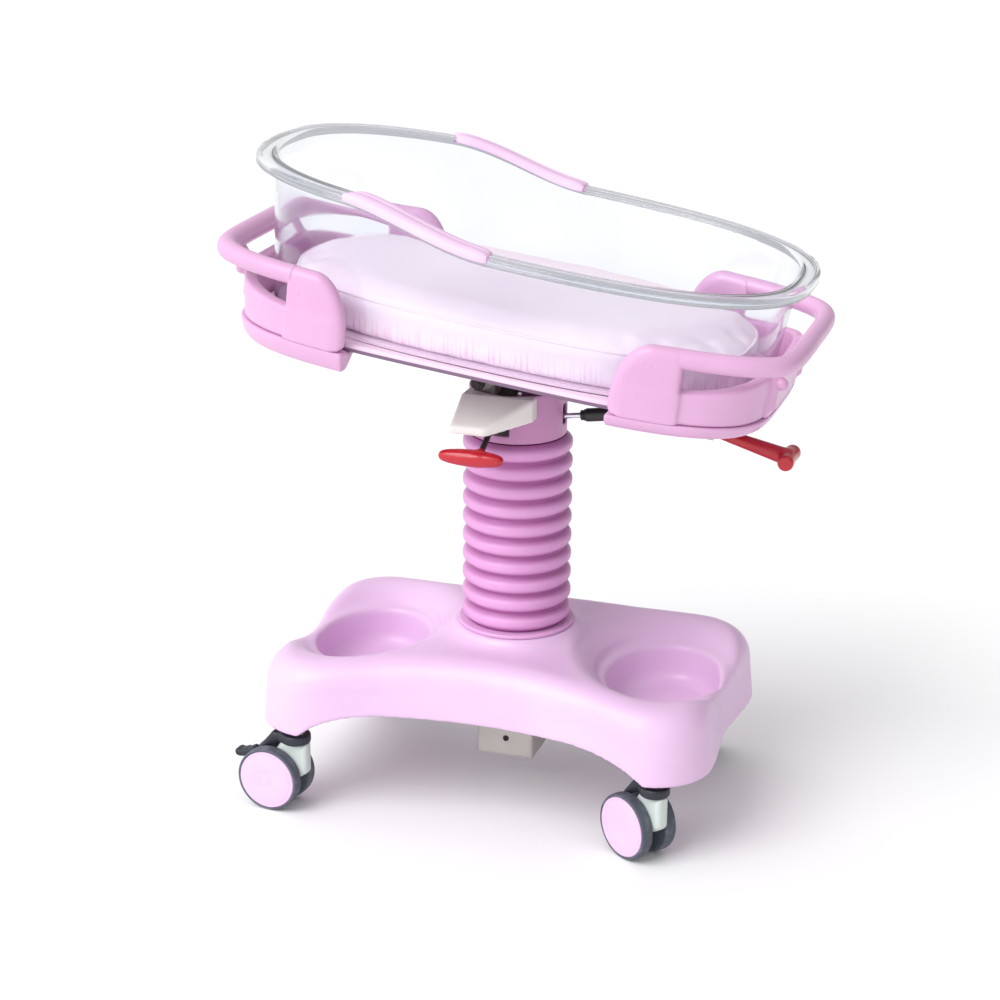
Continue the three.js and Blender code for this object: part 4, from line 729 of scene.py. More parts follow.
# The tray's dark band is painted shade under its edge.
TRAY_BOARD = TrayFinish(
    "tray_board", linear(234, 208, 228), linear(229, 200, 223), linear(240, 220, 235), 0.45, band=linear(124, 98, 124)
)
DARK_STEEL = BrushedFinish(
    "dark_steel", linear(70, 58, 62), linear(50, 42, 46), linear(120, 108, 110), 0.38, metallic=0.8
)
CHROME = BrushedFinish(
    "chrome", linear(226, 228, 231), linear(206, 209, 214), linear(240, 241, 243), 0.16, metallic=1.0
)
BLACK_PAINT = Finish(
    "black_paint", linear(30, 30, 33), linear(22, 22, 25), linear(70, 70, 76), 0.34, coat=0.2
)
CASTER_GREY = Finish("caster_grey", linear(39, 40, 53), linear(32, 33, 44), linear(70, 72, 87), 0.42)
TYRE_GREY = TyreFinish(
    "tyre_grey", linear(85, 90, 102), linear(73, 78, 90), linear(110, 115, 127), 0.62, dust=linear(128, 131, 141)
)
FORK_WHITE = Finish("fork_white", linear(207, 216, 212), linear(195, 205, 200), linear(228, 234, 231), 0.4)
FLOOR_PALE = Finish("floor_pale", linear(252, 252, 253), linear(251, 251, 252), linear(253, 253, 254), 0.75, mottle=0.4)


class Wardrobe:
    """Makes each finish once and dresses the pieces."""

    def __init__(self) -> None:
        """Start with no finish made."""
        self.made: dict[str, bpy.types.Material] = {}

    def material(self, finish: Finish) -> bpy.types.Material:
        """Return a finish's material, made at its first use."""
        if finish.name not in self.made:
            self.made[finish.name] = finish.build()
        return self.made[finish.name]

    def paint(self, piece: bpy.types.Object, finish: Finish) -> None:
        """Give a piece one finish all over."""
        piece.data.materials.clear()
        piece.data.materials.append(self.material(finish))

    def dress(self, piece: bpy.types.Object, finish: Finish, body: str, *nodes: str) -> bpy.types.Object:
        """Finish a piece and fix it to its body.

        Args:
            piece: The piece, in place.
            finish: Its finish.
            body: Name of the body that it rides on.
            nodes: The plain solids that it stands for.

        Returns:
            The piece.
        """
        self.paint(piece, finish)
        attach(piece, body)
        if nodes:
            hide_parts(*nodes)
        log.info("%s rides on %s", piece.name, body)
        return piece


# Base


@dataclass
class Base:
    """Moulded base cover with two storage pockets, and the steel box under the column."""

    shift: float = BASE_SHIFT
    end: float = 336.0
    lobe_end: float = 343.0
    lobe_y: float = 150.0
    corner: tuple[float, float] = (316.0, 196.5)
    lobe_x: float = 265.0
    lobe_front: float = 219.0
    flank: tuple[float, float] = (132.5, 191.1)
    waist: float = 178.0
    skirt: float = 126.384
    skirt_arch: float = 40.0
    skirt_arch_power: float = 6.0
    crest: float = 234.984
    crest_arch: float = 20.0
    shoulder: float = 46.0
    draft: float = 6.0
    wall: float = 7.5
    floor_wall: float = 4.0
    pocket_x: float = 230.0
    pocket_half_length: float = 83.0
    pocket_half_width: float = 110.0
    pocket_draft: float = 7.0
    pocket_floor: float = 153.984
    pocket_rim: float = 211.984
    dish_margin: float = 38.0
    dish_draft: float = 21.0
    mound_radius: float = 90.0
    mound_top: float = 268.984
    mound_steepness: float = 5.0
    hole_radius: float = 54.0
    face_size: float = 3.2
    box_half_length: float = 45.0
    box_half_width: float = 53.0
    box_bottom: float = 63.384
    box_top: float = 121.384
    box_wall: float = 4.0

    def outline(self) -> Array:
        """Return the cover's plan outline at its skirt."""
        quarter = np.array(
            [(self.end, 0), (self.lobe_end, self.lobe_y), self.corner, (self.lobe_x, self.lobe_front), self.flank]
        )
        side = quarter[1:]
        corners = np.vstack(
            [
                quarter,
                [(0, self.waist)],
                side[::-1] * [-1, 1],
                [(-self.end, 0)],
                side * [-1, -1],
                [(0, -self.waist)],
                side[::-1] * [1, -1],
            ]
        )
        return spline_loop(corners + [self.shift, 0], 10)

    def crest_level(self, x: Array) -> Array:
        """Return the level of the cover's crest, which arches up towards the waist."""
        to_waist = smooth_max(1 - np.abs(x - self.shift) / self.lobe_x, np.zeros_like(x), 0.16)
        return self.crest + self.crest_arch * np.sin(to_waist * math.pi / 2)

    def skirt_level(self, x: Array) -> Array:
        """Return the level of the skirt's lower edge, a flat arch between the lobes."""
        to_lobe = np.minimum(1, np.abs(x - self.shift) / self.lobe_x)
        return self.skirt + self.skirt_arch * (1 - to_lobe**self.skirt_arch_power)

    def wells(self, x: Array, y: Array, z: Array, crest: Array) -> Array:
        """Return the distance from the two pockets and the dishes round them."""
        found = None
        depth = self.pocket_rim - self.pocket_floor
        for end in (-1, 1):
            along = x - end * self.pocket_x
            sunk = self.pocket_draft * np.clip((self.pocket_rim - z) / depth, 0, 1)
            pocket = oval_distance(along, y, self.pocket_half_length - sunk, self.pocket_half_width - sunk, 2)
            pocket = smooth_max(pocket, self.pocket_floor - z, 22)
            sloped = self.dish_draft * np.clip((crest - z) / (self.crest - self.pocket_rim), 0, 1)
            grow = self.dish_margin - sloped
            dish = oval_distance(along, y, self.pocket_half_length + grow, self.pocket_half_width + grow, 2)
            dish = smooth_max(dish, self.pocket_rim - z, 14)
            well = smooth_min(pocket, dish, 9)
            found = well if found is None else np.minimum(found, well)
        return found

    def cover_distance(self, x: Array, y: Array, z: Array) -> Array:
        """Return the distance from the cover's shell."""
        side = outline_distance(x, y, self.outline())
        crest, skirt = self.crest_level(x), self.skirt_level(x)
        depth = np.maximum(0, -side - self.shoulder)
        from_column = np.maximum(np.hypot(x, y) - self.mound_radius, 0)
        share = depth / (depth + from_column + 1e-6)
        top = crest + (self.mound_top - crest) * share**self.mound_steepness
        roll = self.shoulder - self.draft
        lean = self.draft * np.clip((z - skirt) / (crest - self.shoulder - skirt), 0, 1)
        across = side + roll + lean
        rise = (z - top + self.shoulder) * roll / self.shoulder
        body = np.minimum(np.maximum(across, rise), 0) - roll
        body = body + np.hypot(np.maximum(across, 0), np.maximum(rise, 0))
        wells = self.wells(x, y, z, crest)
        body = smooth_max(body, -wells, 22)
        shell = np.maximum(body, -(body + self.wall))
        under_floor = np.maximum(wells - self.wall - 2, self.pocket_floor - self.floor_wall - z)
        shell = smooth_max(shell, np.minimum(skirt - z, under_floor), 4)
        return np.maximum(shell, self.hole_radius - np.hypot(x, y))

    def box_distance(self, x: Array, y: Array, z: Array) -> Array:
        """Return the distance from the folded steel box under the column."""
        outer = smooth_max(np.abs(x) - self.box_half_length, np.abs(y) - self.box_half_width, 7)
        inner = smooth_max(outer + self.box_wall, self.box_bottom + self.box_wall - z, 4)
        outer = smooth_max(outer, self.box_bottom - z, 6)
        return np.maximum(np.maximum(outer, -inner), z - self.box_top)

    def build(self, wardrobe: Wardrobe) -> None:
        """Build and dress the base."""
        reach = self.lobe_end + abs(self.shift) + 5
        low = (-reach, -self.lobe_front - 5, self.skirt)
        high = (reach, self.lobe_front + 5, self.mound_top)
        cover = moulded(self.cover_distance, low, high, self.face_size, 12)
        piece = make_piece("base_cover_shell", cover, COLUMN_PLACE, sharp=60)
        wardrobe.dress(piece, PINK_SHELL, Body.BASE.value, "base_cover")
        corner = (self.box_half_length, self.box_half_width)
        box = moulded(self.box_distance, (-corner[0], -corner[1], self.box_bottom), (*corner, self.box_top), 2.0, 3)
        piece = make_piece("column_foot_box_folded", box, COLUMN_PLACE, sharp=50)
        wardrobe.dress(piece, PAINTED_STEEL, Body.BASE.value, "column_foot_box")
        self.build_screw(wardrobe)

    def build_screw(self, wardrobe: Wardrobe) -> None:
        """Build the small round-headed screw in the box's near face."""
        profile = [(0, 0), (1.2, 0), (1.2, 1.0), (1.6, 2.4), (3.2, 2.2), (4.4, 1.2), (4.8, 0), (4.6, -0.6), (0, -0.6)]
        head = lathe(profile, 28)
        spot = Matrix.Translation((2, -self.box_half_width, self.box_bottom + 30)) @ Matrix.Rotation(math.pi / 2, 4, "X")
        piece = make_piece("foot_box_screw", head, COLUMN_PLACE @ spot)
        wardrobe.dress(piece, DARK_STEEL, Body.BASE.value)


# Casters


@dataclass
class Caster:
    """One twin-wheel caster, built along its own trail direction."""

    name: str
    x: float
    y: float
    heading: float
    braked: bool
    trail: float = 35.0
    axle_level: float = 49.384
    wheel_radius: float = 49.36
    disc_radius: float = 45.0
    wheel_inner: float = 12.5
    wheel_outer: float = 31.5
    axle_radius: float = 5.0
    fork_half_width: float = 11.0
    fork_belly: float = 14.0
    fork_chin: float = 5.0
    fork_eye: float = 16.0
    fork_edge: float = 8.0
    collar_radius: float = 22.0
    collar_bottom: float = 106.384
    collar_top: float = 121.2
    stem_radius: float = 5.5
    stem_top: float = 141.384
    fender_half_width: float = 11.0
    fender_shoulder: tuple[float, float] = (37.0, 119.2)
    fender_tip: tuple[float, float] = (62.0, 88.384)
    fender_tip_length: float = 14.0
    pedal_pivot: tuple[float, float] = (65.0, 81.384)
    pedal_slope: float = math.radians(16)
    pedal_start: float = 1.0
    pedal_length: float = 38.0
    pedal_half_width: float = 11.0
    pedal_half_thickness: float = 7.0
    pedal_ribs: int = 2

    @property
    def place(self) -> Matrix:
        """Where the caster stands."""
        return Matrix.Translation((self.x + X_SHIFT, self.y, 0)) @ Matrix.Rotation(math.radians(self.heading), 4, "Z")

    @property
    def axle_place(self) -> Matrix:
        """Where the axle is, with the axle's line as Z."""
        return Matrix.Translation((self.trail, 0, self.axle_level)) @ Matrix.Rotation(math.pi / 2, 4, "X")

    def hub(self) -> Mesh:
        """Return the axle with its two domed discs."""
        radius, face = self.disc_radius, self.wheel_outer
        half = [
            (self.axle_radius, self.wheel_inner + 0.9),
            (radius - 1.0, self.wheel_inner + 0.9),
            (radius - 0.2, self.wheel_inner + 1.9),
            (radius - 0.2, face - 1.2),
            (radius - 0.6, face - 0.2),
            (radius - 1.6, face + 0.5),
            (radius - 3.6, face + 0.9),
            (radius - 4.4, face + 0.4),
            (radius - 5.2, face + 0.4),
            (radius - 6.2, face + 1.0),
            (radius - 9.0, face + 1.5),
            (radius - 18.0, face + 1.85),
            (11.0, face + 1.95),
            (10.2, face + 1.6),
            (9.4, face + 1.6),
            (8.4, face + 1.95),
            (0, face + 2.0),
        ]
        other = [(r, -level) for r, level in reversed(half)]
        return lathe([*other, *half], 72)

    def tyre(self, side: int) -> Mesh:
        """Return one tyre with a rounded tread and a thin web over the wheel's inner face."""
        low, high, outer, inner = self.wheel_inner, self.wheel_outer, self.wheel_radius, self.disc_radius + 0.1
        middle = (low + high) / 2
        half = (high - low) / 2
        edge = [(inner, half - 0.7), (inner + 0.5, half - 0.1)]
        web = self.axle_radius + 0.3
        profile = [(inner, 0.7 - half), (web, 0.7 - half), (web, -half), (inner + 0.5, 0.1 - half)]
        for angle in np.linspace(-math.pi / 2, math.pi / 2, 17):
            bulge = math.copysign(abs(math.sin(angle)) ** 0.62, math.sin(angle))
            crown = outer - 3.2 * (1 - abs(math.cos(angle)) ** 0.5)
            profile.append((crown, half * bulge))
        profile += edge[::-1]
        return lathe([(radius, side * (middle + level)) for radius, level in profile], 72)

    def fork_outline(self) -> Array:
        """Return the fork's side outline in X and Z."""
        top, low = self.collar_bottom + 1.0, self.axle_level - self.fork_eye
        start = np.array([-self.collar_radius + 1, self.axle_level + self.fork_belly])
        bend = np.array([-self.collar_radius + 1, self.axle_level + self.fork_chin])
        end = np.array([self.trail, low])
        shares = np.linspace(0, 1, 9)[:, None]
        belly = start * (1 - shares) ** 2 + bend * 2 * shares * (1 - shares) + end * shares**2
        turns = np.linspace(-math.pi / 2, 0, 7)[1:]
        eye = np.stack([self.trail + self.fork_eye * np.cos(turns), self.axle_level + self.fork_eye * np.sin(turns)], 1)
        neck = [(self.trail + self.fork_eye, self.axle_level + self.fork_eye), (self.collar_radius - 1, top)]
        return np.vstack([[(-self.collar_radius + 1, top)], belly, eye, neck])

    def fork_distance(self, x: Array, y: Array, z: Array) -> Array:
        """Return the distance from the fork between the wheels."""
        edge = self.fork_edge
        side = outline_distance(x, z, self.fork_outline()) + edge
        across = np.abs(y) - self.fork_half_width + edge
        body = np.minimum(np.maximum(side, across), 0) - edge
        body = body + np.hypot(np.maximum(side, 0), np.maximum(across, 0))
        from_axle = np.hypot(x - self.trail, z - self.axle_level)
        return np.maximum(body, self.axle_radius + 0.4 - from_axle)

    def hood_distance(self, x: Array, y: Array, z: Array) -> Array:
        """Return the distance from the hood: collar, stem and fender."""
        from_stem = np.hypot(x, y)
        collar = smooth_max(from_stem - self.collar_radius, z - self.collar_top, 4)
        collar = smooth_max(collar, self.collar_bottom - z, 4)
        stem = np.maximum(from_stem - self.stem_radius, np.maximum(z - self.stem_top, self.collar_bottom - z))
        tip, shoulder = self.fender_tip, self.fender_shoulder
        side = np.array(
            [
                (0, self.collar_bottom),
                (self.collar_radius, self.collar_bottom),
                (tip[0] - self.fender_tip_length, tip[1]),
                tip,
                shoulder,
                (0, shoulder[1]),
            ]
        )
        fender = smooth_max(outline_distance(x, z, side), np.abs(y) - self.fender_half_width, 6)
        return np.minimum(smooth_min(collar, fender, 8), stem)

    def pedal_distance(self, x: Array, y: Array, z: Array) -> Array:
        """Return the distance from the brake pedal, along its own length as X."""
        end = self.pedal_start + self.pedal_length
        dip = 2.2 * np.sin(np.clip((x - 4) / (end - 8), 0, 1) * math.pi)
        ribs = 0.6 * np.cos((x - end / 2) / (end - 14) * math.pi * 2 * self.pedal_ribs)
        thin = 2.0 * smoothstep(x, end - 16, end)
        top = z - self.pedal_half_thickness + dip - ribs * (x > 10) * (x < end - 5)
        body = smooth_max(top, -z - self.pedal_half_thickness + thin, 5)
        body = smooth_max(body, np.abs(y) - self.pedal_half_width, 6)
        return smooth_max(body, np.maximum(self.pedal_start - x, x - end), 8)

    def build(self, wardrobe: Wardrobe) -> None:
        """Build and dress the caster."""
        swivel, wheels = f"{self.name}_swivel", f"{self.name}_wheels"
        node = f"{self.name}_caster"
        low, high = (-23, -23, self.fender_tip[1]), (self.fender_tip[0], 23, self.stem_top)
        hood = moulded(self.hood_distance, low, high, 1.8, 4)
        wardrobe.dress(make_piece(f"{node}_hood_moulded", hood, self.place), CASTER_GREY, swivel, f"{node}_hood")
        fork = moulded(self.fork_distance, (-23, -12, 30), (54, 12, self.collar_bottom + 2), 1.8, 4)
        wardrobe.dress(make_piece(f"{node}_fork_moulded", fork, self.place), FORK_WHITE, swivel, f"{node}_fork")
        hub = make_piece(f"{node}_discs", self.hub(), self.place @ self.axle_place, sharp=60)
        wardrobe.dress(hub, PINK_SHELL, wheels, f"{node}_hub")
        for letter, side in (("a", 1), ("b", -1)):
            tyre = make_piece(f"{node}_tread_{letter}", self.tyre(side), self.place @ self.axle_place, sharp=60)
            wardrobe.dress(tyre, TYRE_GREY, wheels, f"{node}_tyre_{letter}")
        if self.braked:
            self.build_pedal(wardrobe)

    def build_pedal(self, wardrobe: Wardrobe) -> None:
        """Build and dress the brake pedal behind the fender's tip."""
        root = (self.pedal_pivot[0], 0, self.pedal_pivot[1])
        spot = Matrix.Translation(root) @ Matrix.Rotation(self.pedal_slope, 4, "Y")
        half = (self.pedal_half_width, self.pedal_half_thickness)
        high = (self.pedal_start + self.pedal_length, half[0], half[1] + 1)
        pedal = moulded(self.pedal_distance, (self.pedal_start, -half[0], -half[1]), high, 1.4, 3)
        piece = make_piece(f"{self.name}_brake_pedal_moulded", pedal, self.place @ spot)
        wardrobe.dress(piece, CASTER_GREY, f"{self.name}_pedal", f"{self.name}_brake_pedal")


# Column and lift head


@dataclass
class Column:
    """Bellows and its lower ring, with the sleeve above them."""

    ring_bottom: float = 269.284
    ring_top: float = 275.284
    ring_radius: float = 87.0
    bore: float = 71.0
    bellows_bottom: float = 275.584
    bellows_top: float = 565.584
    radius: float = 81.2
    valley: float = 9.2
    ribs: int = 10
    rib_steps: int = 14
    sleeve_radius: float = 72.0
    sleeve_wall: float = 3.5
    sleeve_bottom: float = 565.884
    sleeve_top: float = 639.884
    lever_window: tuple[float, float] = (-24.0, 8.0)
    lever_window_bottom: float = 578.184
    spring_window_half: float = 8.5
    spring_window: tuple[float, float] = (584.884, 614.884)

    def rib_radius(self, share: float) -> float:
        """Return the bellows' radius at a share of one rib's pitch: a full crest and a tighter valley."""
        return self.radius - self.valley * (0.5 + 0.5 * math.cos(2 * math.pi * share)) ** 1.8

    def bellows(self) -> Mesh:
        """Return the ribbed tube, closed at its ends to the bore."""
        pitch = (self.bellows_top - self.bellows_bottom) / self.ribs
        profile = [(self.bore, self.bellows_bottom)]
        for step in range(self.ribs * self.rib_steps + 1):
            share = step / self.rib_steps
            profile.append((self.rib_radius(share % 1.0), self.bellows_bottom + share * pitch))
        profile.append((self.bore, self.bellows_top))
        inside = np.linspace(self.bellows_top, self.bellows_bottom, self.ribs * 2 + 1)[1:-1]
        return lathe(profile + [(self.bore, level) for level in inside], 96)

    def sleeve_distance(self, x: Array, y: Array, z: Array) -> Array:
        """Return the distance from the sleeve with its two windows."""
        from_axis = np.hypot(x, y)
        tube = np.maximum(from_axis - self.sleeve_radius, self.sleeve_radius - self.sleeve_wall - from_axis)
        tube = smooth_max(tube, np.maximum(self.sleeve_bottom - z, z - self.sleeve_top), 2)
        low, high = self.lever_window
        lever = np.maximum(np.maximum(low - x, x - high), np.maximum(self.lever_window_bottom - z, y))
        low, high = self.spring_window
        spring = smooth_max(np.abs(y) - self.spring_window_half, np.maximum(low - z, z - high), 5)
        return np.maximum(tube, -np.minimum(lever, np.maximum(spring, -x)))

    def build(self, wardrobe: Wardrobe) -> None:
        """Build and dress the column."""
        corners = [(self.bore, self.ring_bottom), (self.ring_radius, self.ring_bottom), (self.ring_radius, self.ring_top)]
        ring = rounded_profile([*corners, (self.bore, self.ring_top)], 2.6, 5)
        piece = make_piece("bellows_ring_turned", lathe(ring, 96), COLUMN_PLACE)
        wardrobe.dress(piece, PINK_RING, Body.BASE.value, "bellows_lower_ring")
        piece = make_piece("bellows_ribbed", self.bellows(), COLUMN_PLACE, sharp=75)
        wardrobe.paint(piece, PINK_RUBBER)
        low, high = ((X_SHIFT * MM, 0, level * MM) for level in (self.bellows_bottom, self.bellows_top))
        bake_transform(piece)
        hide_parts("bellows")
        log.info("bellows_ribbed stretches from %s to %s", Body.BASE.value, Body.LIFT_HEAD.value)
        reach = self.sleeve_radius
        low, high = (-reach, -reach, self.sleeve_bottom), (reach, reach, self.sleeve_top)
        sleeve = moulded(self.sleeve_distance, low, high, 2.0, 4)
        piece = make_piece("column_sleeve_moulded", sleeve, COLUMN_PLACE, sharp=50)
        # The sleeve's darker pink is painted shade from the deck.
        wardrobe.dress(piece, PINK_SLEEVE_SHADED, Body.LIFT_HEAD.value, "column_sleeve")


@dataclass
class LiftHead:
    """Lever cover, hinge bolt and the red cross grip of the height lever."""

    top: float = 639.884
    cover_head: float = -62.0
    cover_foot: float = 46.0
    cover_drop: float = 34.0
    cover_back: float = -36.0
    cover_bend: float = -79.0
    cover_front: float = -134.0
    lip_foot: float = -8.0
    lip_drop: float = 45.0
    lip_height: float = 11.0
    cover_wall: float = 3.4
    sleeve_room: float = 72.3
    pivot_x: float = -38.0
    pivot_level: float = 654.884
    pin_radius: float = 7.0
    pin_half_length: float = 72.0
    bolt_head: float = 6.0
    bolt_flat: float = 10.6
    lever_pivot: tuple[float, float, float] = (-12.0, -88.0, 596.884)
    grip_offset: tuple[float, float, float] = (-11.0, -62.0, -29.0)
    grip_half_length: float = 48.5
    grip_radius: float = 12.6
    boss_length: float = 17.0

    def cover_distance(self, x: Array, y: Array, z: Array) -> Array:
        """Return the distance from the open-bottomed lever cover."""
        run = self.cover_bend - self.cover_front
        share = np.clip((self.cover_bend - y) / run, 0, 1)
        foot = self.cover_foot + (self.lip_foot - self.cover_foot) * share
        fall = self.lip_drop - self.lip_height
        roof = self.top - fall * share
        floor = self.top - self.cover_drop - (self.lip_drop - self.cover_drop) * share
        foot_slope = math.hypot(1, (self.cover_foot - self.lip_foot) / run)
        roof_slope = math.hypot(1, fall / run)
        slanted = np.where(share > 0, (x - foot) / foot_slope, x - foot)
        walls = smooth_max(self.cover_head - x, slanted, 6)
        walls = smooth_max(walls, np.maximum(self.cover_front - y, y - self.cover_back), 5)
        walls = smooth_max(walls, np.where(share > 0, (z - roof) / roof_slope, z - roof), 6)
        shell = np.maximum(walls, -(walls + self.cover_wall))
        shell = smooth_max(shell, floor - z, 1.5)
        return np.maximum(shell, self.sleeve_room - np.hypot(x, y))

    def grip_distance(self, x: Array, y: Array, z: Array) -> Array:
        """Return the distance from the lens-shaped cross grip and its boss."""
        share = np.abs(x) / self.grip_half_length
        fade = np.sqrt(np.clip(1 - share**16, 0, 1))
        radius = self.grip_radius * (1 - 0.45 * np.minimum(share, 1) ** 2) * fade
        bar = np.hypot(y, z) - radius + np.maximum(share - 1, 0) * self.grip_half_length
        aim = -Vector((0, self.grip_offset[1], self.grip_offset[2])).normalized()
        middle = x + self.grip_offset[0]
        along = y * aim.y + z * aim.z
        across = np.sqrt(middle**2 + (y * aim.z - z * aim.y) ** 2)
        boss = smooth_max(across - 8.5 + 0.12 * np.maximum(along, 0), np.maximum(along - self.boss_length, -6 - along), 3)
        return np.maximum(smooth_min(bar * 0.9, boss, 6), np.where(along > 4, 4.9 - across, -99))

    def bolt(self) -> Mesh:
        """Return the hinge bolt: shaft, washers, six-sided head and nut."""
        end = self.pin_half_length
        corners = [(0, -end - 8), (self.pin_radius - 2, -end - 8), (self.pin_radius - 2, -end)]
        corners += [(10.0, -end), (10.0, -end + 1.2), (self.pin_radius, -end + 1.2)]
        corners += [(r, -level) for r, level in reversed(corners)]
        meshes = [lathe(corners, 40)]
        for side in (-1, 1):
            rings = []
            for radius, level in ((0.86, 0.2), (1.0, 1.0), (1.0, self.bolt_head - 1.2), (0.84, self.bolt_head)):
                angles = np.arange(6) * math.pi / 3 + 0.3
                plan = np.stack([np.cos(angles), np.sin(angles)], 1) * self.bolt_flat * radius
                rings.append(np.column_stack([plan, np.full(6, side * (end + level))]))
            meshes.append(loft(np.array(rings)))
        return joined(*meshes)

    def build(self, wardrobe: Wardrobe) -> None:
        """Build and dress the lift head's own pieces."""
        low = (self.cover_head, self.cover_front, self.top - self.lip_drop)
        high = (self.cover_foot, self.cover_back, self.top)
        cover = moulded(self.cover_distance, low, high, 1.7, 3)
        piece = make_piece("lever_cover_moulded", cover, COLUMN_PLACE, sharp=45)
        wardrobe.dress(piece, BEIGE_PLASTIC, Body.LIFT_HEAD.value, "lever_cover")
        hinge = Matrix.Translation((self.pivot_x, 0, self.pivot_level)) @ Matrix.Rotation(math.pi / 2, 4, "X")
        piece = make_piece("tilt_hinge_bolt", self.bolt(), COLUMN_PLACE @ hinge, sharp=30)
        wardrobe.dress(piece, DARK_STEEL, Body.LIFT_HEAD.value, "tilt_hinge_pin")
        reach = (self.grip_half_length, 15, 15)
        grip = moulded(self.grip_distance, [-r - 1 for r in reach], [r + 6 for r in reach], 1.5, 4)
        spot = Matrix.Translation(Vector(self.lever_pivot) + Vector(self.grip_offset))
        piece = make_piece("height_lever_grip_moulded", grip, COLUMN_PLACE @ spot)
        wardrobe.dress(piece, RED_PLASTIC, Body.HEIGHT_LEVER.value, "height_lever_grip")


@dataclass
class TiltSpring:
    """Gas spring that holds the deck's tilt: bright rod and black cylinder."""

    pivot: tuple[float, float, float] = (50.0, 0.0, 592.884)
    rise: float = math.radians(8.194)
    length: float = 193.88
    rod_radius: float = 4.0
    rod_length: float = 122.0
    rod_shown: float = 46.0
    eye_radius: float = 8.0
    eye_half_width: float = 6.0
    eye_bore: float = 4.4
    body_radius: float = 10.0
    body_bore: float = 6.0
    far_eye_radius: float = 14.0
    far_eye_bore: float = 8.5

    def eye(self, at: float, radius: float, bore: float) -> Mesh:
        """Return a turned eye across the spring, with its edges rounded."""
        half = self.eye_half_width
        corners = [(bore, 0), (bore, half), (radius, half), (radius, -half), (bore, -half), (bore, 0)]
        profile = rounded_profile(corners, 1.5, 4)[:-1]
        return turned(lathe(profile, 40), Matrix.Translation((at, 0, 0)) @ Matrix.Rotation(math.pi / 2, 4, "X"))

    def build(self, wardrobe: Wardrobe) -> None:
        """Build and dress the spring's two pieces."""
        place = COLUMN_PLACE @ Matrix.Translation(self.pivot) @ Matrix.Rotation(-self.rise, 4, "Y")
        along = Matrix.Rotation(math.pi / 2, 4, "Y")
        start, end = self.eye_radius - 1.5, self.rod_length
        corners = [(0, start), (6, start), (6, start + 9), (self.rod_radius, start + 10), (self.rod_radius, end), (0, end)]
        rod = turned(lathe(rounded_profile(corners, 1.0, 3), 40), along)
        mesh = joined(rod, self.eye(0, self.eye_radius, self.eye_bore))
        piece = make_piece("tilt_spring_rod_turned", mesh, place)
        wardrobe.dress(piece, CHROME, Body.SPRING_ROD.value, "tilt_spring_rod")
        start, end = self.rod_shown, self.length - self.far_eye_bore - 1.5
        bore, radius = self.body_bore, self.body_radius
        corners = [(bore, start + 80), (bore, start + 2), (radius - 2.4, start), (radius - 2.4, start + 5)]
        corners += [(radius - 1.2, start + 6), (radius - 1.2, start + 8), (radius, start + 9), (radius, end - 12)]
        corners += [(radius - 2, end - 8), (radius - 2, end), (bore, end), (bore, start + 80)]
        body = turned(lathe(rounded_profile(corners, 1.2, 3)[:-1], 40), along)
        mesh = joined(body, self.eye(self.length, self.far_eye_radius, self.far_eye_bore))
        piece = make_piece("tilt_spring_cylinder_turned", mesh, place)
        wardrobe.dress(piece, BLACK_PAINT, Body.SPRING_CYLINDER.value, "tilt_spring_cylinder")


# Deck


